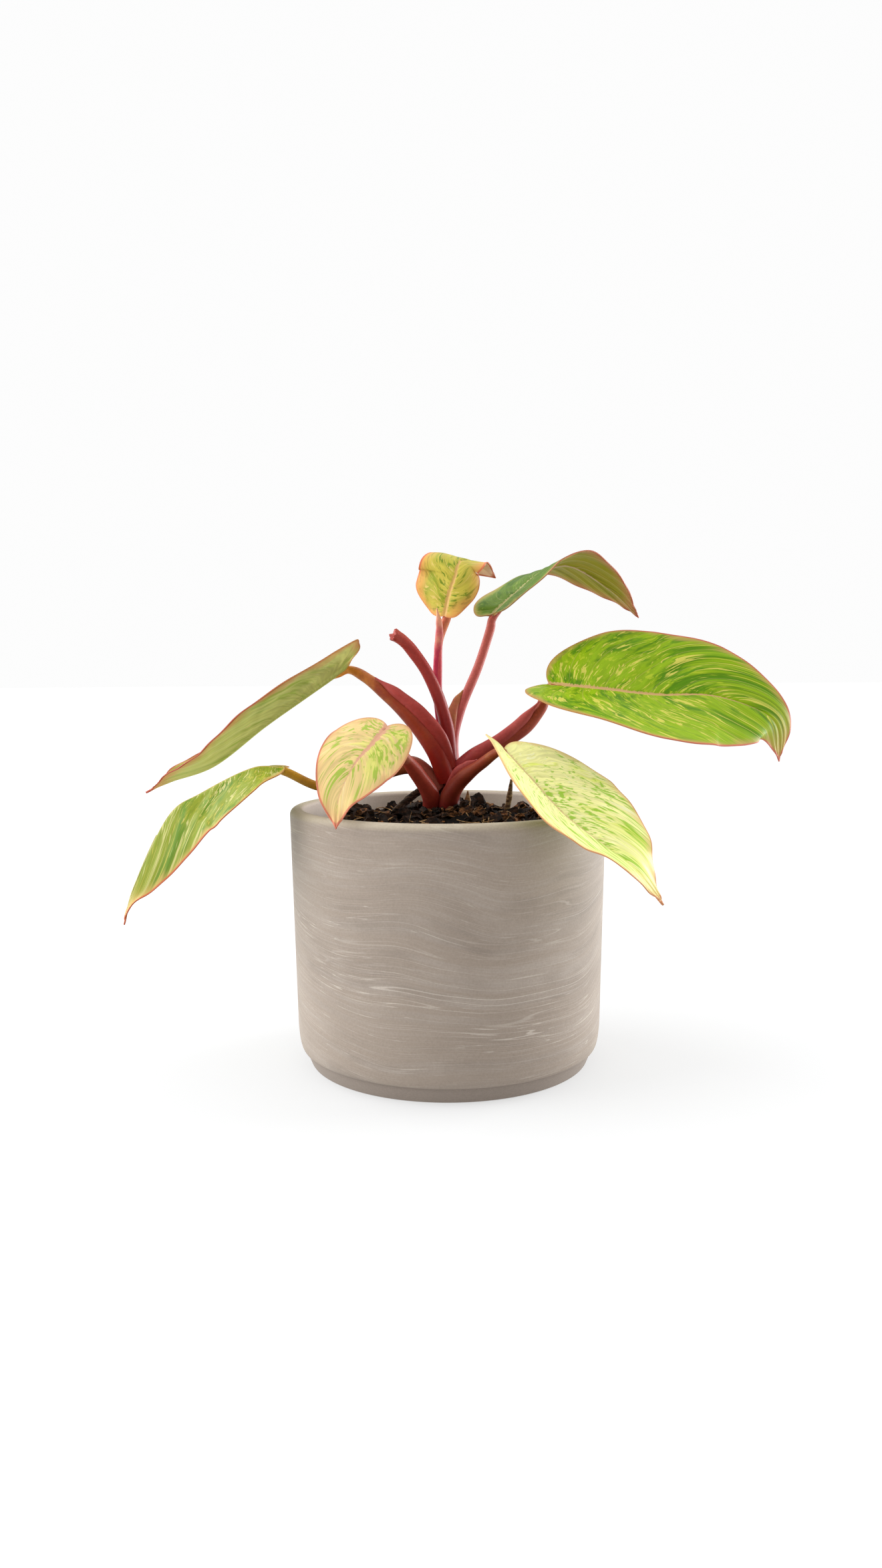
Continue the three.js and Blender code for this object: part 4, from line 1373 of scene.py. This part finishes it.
def under_blade(leaf, radius, tuck):
    """The last points of a stalk: under the notch, then a little way along the midrib."""
    _, centre, ahead, face, _ = frame_on(leaf, np.array([0.0, 4.0, 9.0]))
    below = centre[0] + tuck * ahead[0] - (radius + 0.4) * face[0]
    return [below, centre[1] - 1.5 * face[1], centre[2] - 0.8 * face[2]]


def tear_end(piece, path):
    """Turns the round end of a cut stalk to a ragged, hollow one."""
    points = read_points(piece)
    ahead = direction_of(path, np.array([0.999]))[0]
    from_end = points - path[-1]
    height = from_end @ ahead
    across = from_end - height[:, None] * ahead
    radius = np.linalg.norm(across, axis=1)
    jags = rough(across, 1.3, 1.6, 3) * smoothstep(radius, 0.8, 2)
    hollow = -2.4 * (1 - smoothstep(radius, 0.6, 2.2))
    flare = 0.12 * across * smoothstep(height, -3, 0)[:, None]
    torn = smoothstep(height, -2.5, -0.5) * (jags + hollow)
    write_points(piece, points + flare + ahead * torn[:, None])


def note_along(piece, path):
    """Notes for each point how far along the path it lies, from 0 to 1."""
    t = np.linspace(0, 1, 60)
    gaps = np.linalg.norm(read_points(piece)[:, None] - curve_through(path, t)[None], axis=2)
    note_on_points(piece, "along", t[gaps.argmin(axis=1)])


# %% The stalk skin
# Crimson at the foot, then brown to orange or olive near the blade, with faint lengthwise lines. The
# darkest crimson at the feet is partly painted shade, where the stalks crowd at the crown.
STALK_SHADES = ("Foot", "Middle", "Top")
STALK_LIGHT = 0.85
values = {"Along": 0.0, **dict.fromkeys(STALK_SHADES, WHITE), "Seed": 0.0, "Turn": 0.6}
stalk_paint, given, result = new_group("stalk skin", values)
place = mapped(object_place(stalk_paint), 1, given["Seed"])
near = noise_node(place, scale=0.14) * 0.5 + given["Along"] - 0.25
to_middle = step_node(near, 0.05, given["Turn"])
to_top = step_node(near, given["Turn"], 0.88)
colour = mix_node(to_middle, given["Foot"], given["Middle"])
colour = mix_node(to_top, colour, given["Top"])
lines = noise_node(place, detail=4, roughness=0.7, scale=0.9)
colour = shaded(colour, step_node(lines, 0.3, 0.7, 0.9, 1.1))
fill(result, {"Color": colour, "Height": lines})
print("nodes in the stalk skin:", len(stalk_paint.nodes))


def stalk_skin(name, codes, turn, seed=0.0, roughness=0.45):
    skin, tree, shader = new_material(name)
    colours = [linear(code, STALK_LIGHT) for code in codes.split()]
    values = {"Along": read_attribute(tree, "along"), "Turn": turn, "Seed": seed}
    colour, height = use_group(tree, stalk_paint, values | dict(zip(STALK_SHADES, colours)))
    coat(shader, colour, roughness, 0.2)
    bump(shader, height, 0.1, 0.4)
    return skin


# %% Make the eight stalks
STALK_SLOTS = {"petiole_2": "stalk_pale", "petiole_5": "stalk_pale"}
for seed, (name, stalk) in enumerate(STALKS.items()):
    path, radii = stalk["path"], stalk["radii"]
    leaf = LEAVES.get(name.replace("petiole", "blade"))
    if leaf:
        path = path + under_blade(leaf, radii[-2], stalk.get("tuck", USUAL_TUCK))
        radii = radii + [TIP_RADIUS]
    piece = make_tube(name + "_stalk", path, radii, wobble=WOBBLE)
    piece.data.materials.append(stalk_skin(name + "_skin", *stalk["skin"], 10.0 * seed))
    if "sheath" in stalk:
        sheath = stalk["sheath"]
        other = make_tube("sheath", sheath["path"], sheath["radii"], sheath["flat"], rows=60)
        skin = stalk_skin(name + "_sheath", *sheath["skin"], 10.0 * seed + 5)
        other.data.materials.append(skin)
        unite(piece, other)
    note_along(piece, path)
    if name == "cut_petiole":
        tear_end(piece, path)
    smooth_shading(piece)
    finish_piece(piece, [], STALK_SLOTS.get(name, "stalk"), name)

# %% [markdown]
# The stem itself is short and ringed where older leaves grew. One dark root leaves it and dips
# into the soil, and beside it stand a dry sheath and a dry bract, thin as paper.

# %% Stem, root and the dry leftovers
STEM_RADIUS = 5.5
STEM_PATH = [(0, 3, 96), (0.35, 2.65, 112.1), (0.7, 2.3, 128.2), (1, 2, 142)]
STEM_RADII = [STEM_RADIUS * k for k in (1, 1.05, 0.97, 1.08, 0.98, 1.06, 0.9, 0.55)]
ROOT_PATH = [
    (-4, 4, 134), (-9.3, 4, 131), (-15, 2.5, 127.4),
    (-20.8, -0.5, 123), (-26.4, -5, 117.4), (-30, -8, 108),
]
DRY_SHEATH_PATH = [(27, 12.5, 106), (28.4, 12, 114.6), (30.1, 12, 124.1), (31.2, 12, 133)]
BRACT_PATH = [(7.2, -3.5, 110), (8.4, -3.5, 118), (9.4, -3.5, 124), (9.6, -4, 129)]


def roughen(piece, size, depth, seed):
    points = read_points(piece)
    press(piece, points, rough(points, size, depth, seed))


stem = make_tube("main_stem", STEM_PATH, STEM_RADII, sides=40)
roughen(stem, 4, 0.5, 5)
note_along(stem, STEM_PATH)
root = make_tube("aerial_root_strand", ROOT_PATH, [1.6, 1.7, 1.8, 1.8, 1.7, 1], sides=20)
roughen(root, 2.2, 0.35, 6)
dry = make_tube("dry_sheath_blade", DRY_SHEATH_PATH, [1.2, 1.5, 1.4, 0.7], 0.5, wobble=0.06)
bract = make_tube("dry_bract_blade", BRACT_PATH, [1.2, 1.6, 1.5, 0.4], 0.5, wobble=0.04)
stem_skin = stalk_skin("stem_skin", "#4A2A20 #5A2A24 #7A3430", 0.7, roughness=0.5)
root_bark = bark_like("root_bark", "#241A14", "#5C4838", 4.0, 0.8)
dry_leaf = bark_like("dry_leaf", "#5A4230", "#AC9068", 5.0, 0.7)
tan_leaf = bark_like("tan_leaf", "#7C5838", "#BC956A", 6.0, 0.65)
for piece, skin, slot, node in (
    (stem, stem_skin, "stem", "stem"),
    (root, root_bark, "root", "aerial_root"),
    (dry, dry_leaf, "dry", "dry_sheath"),
    (bract, tan_leaf, "dry", "bract"),
):
    smooth_shading(piece)
    finish_piece(piece, [skin], slot, node)
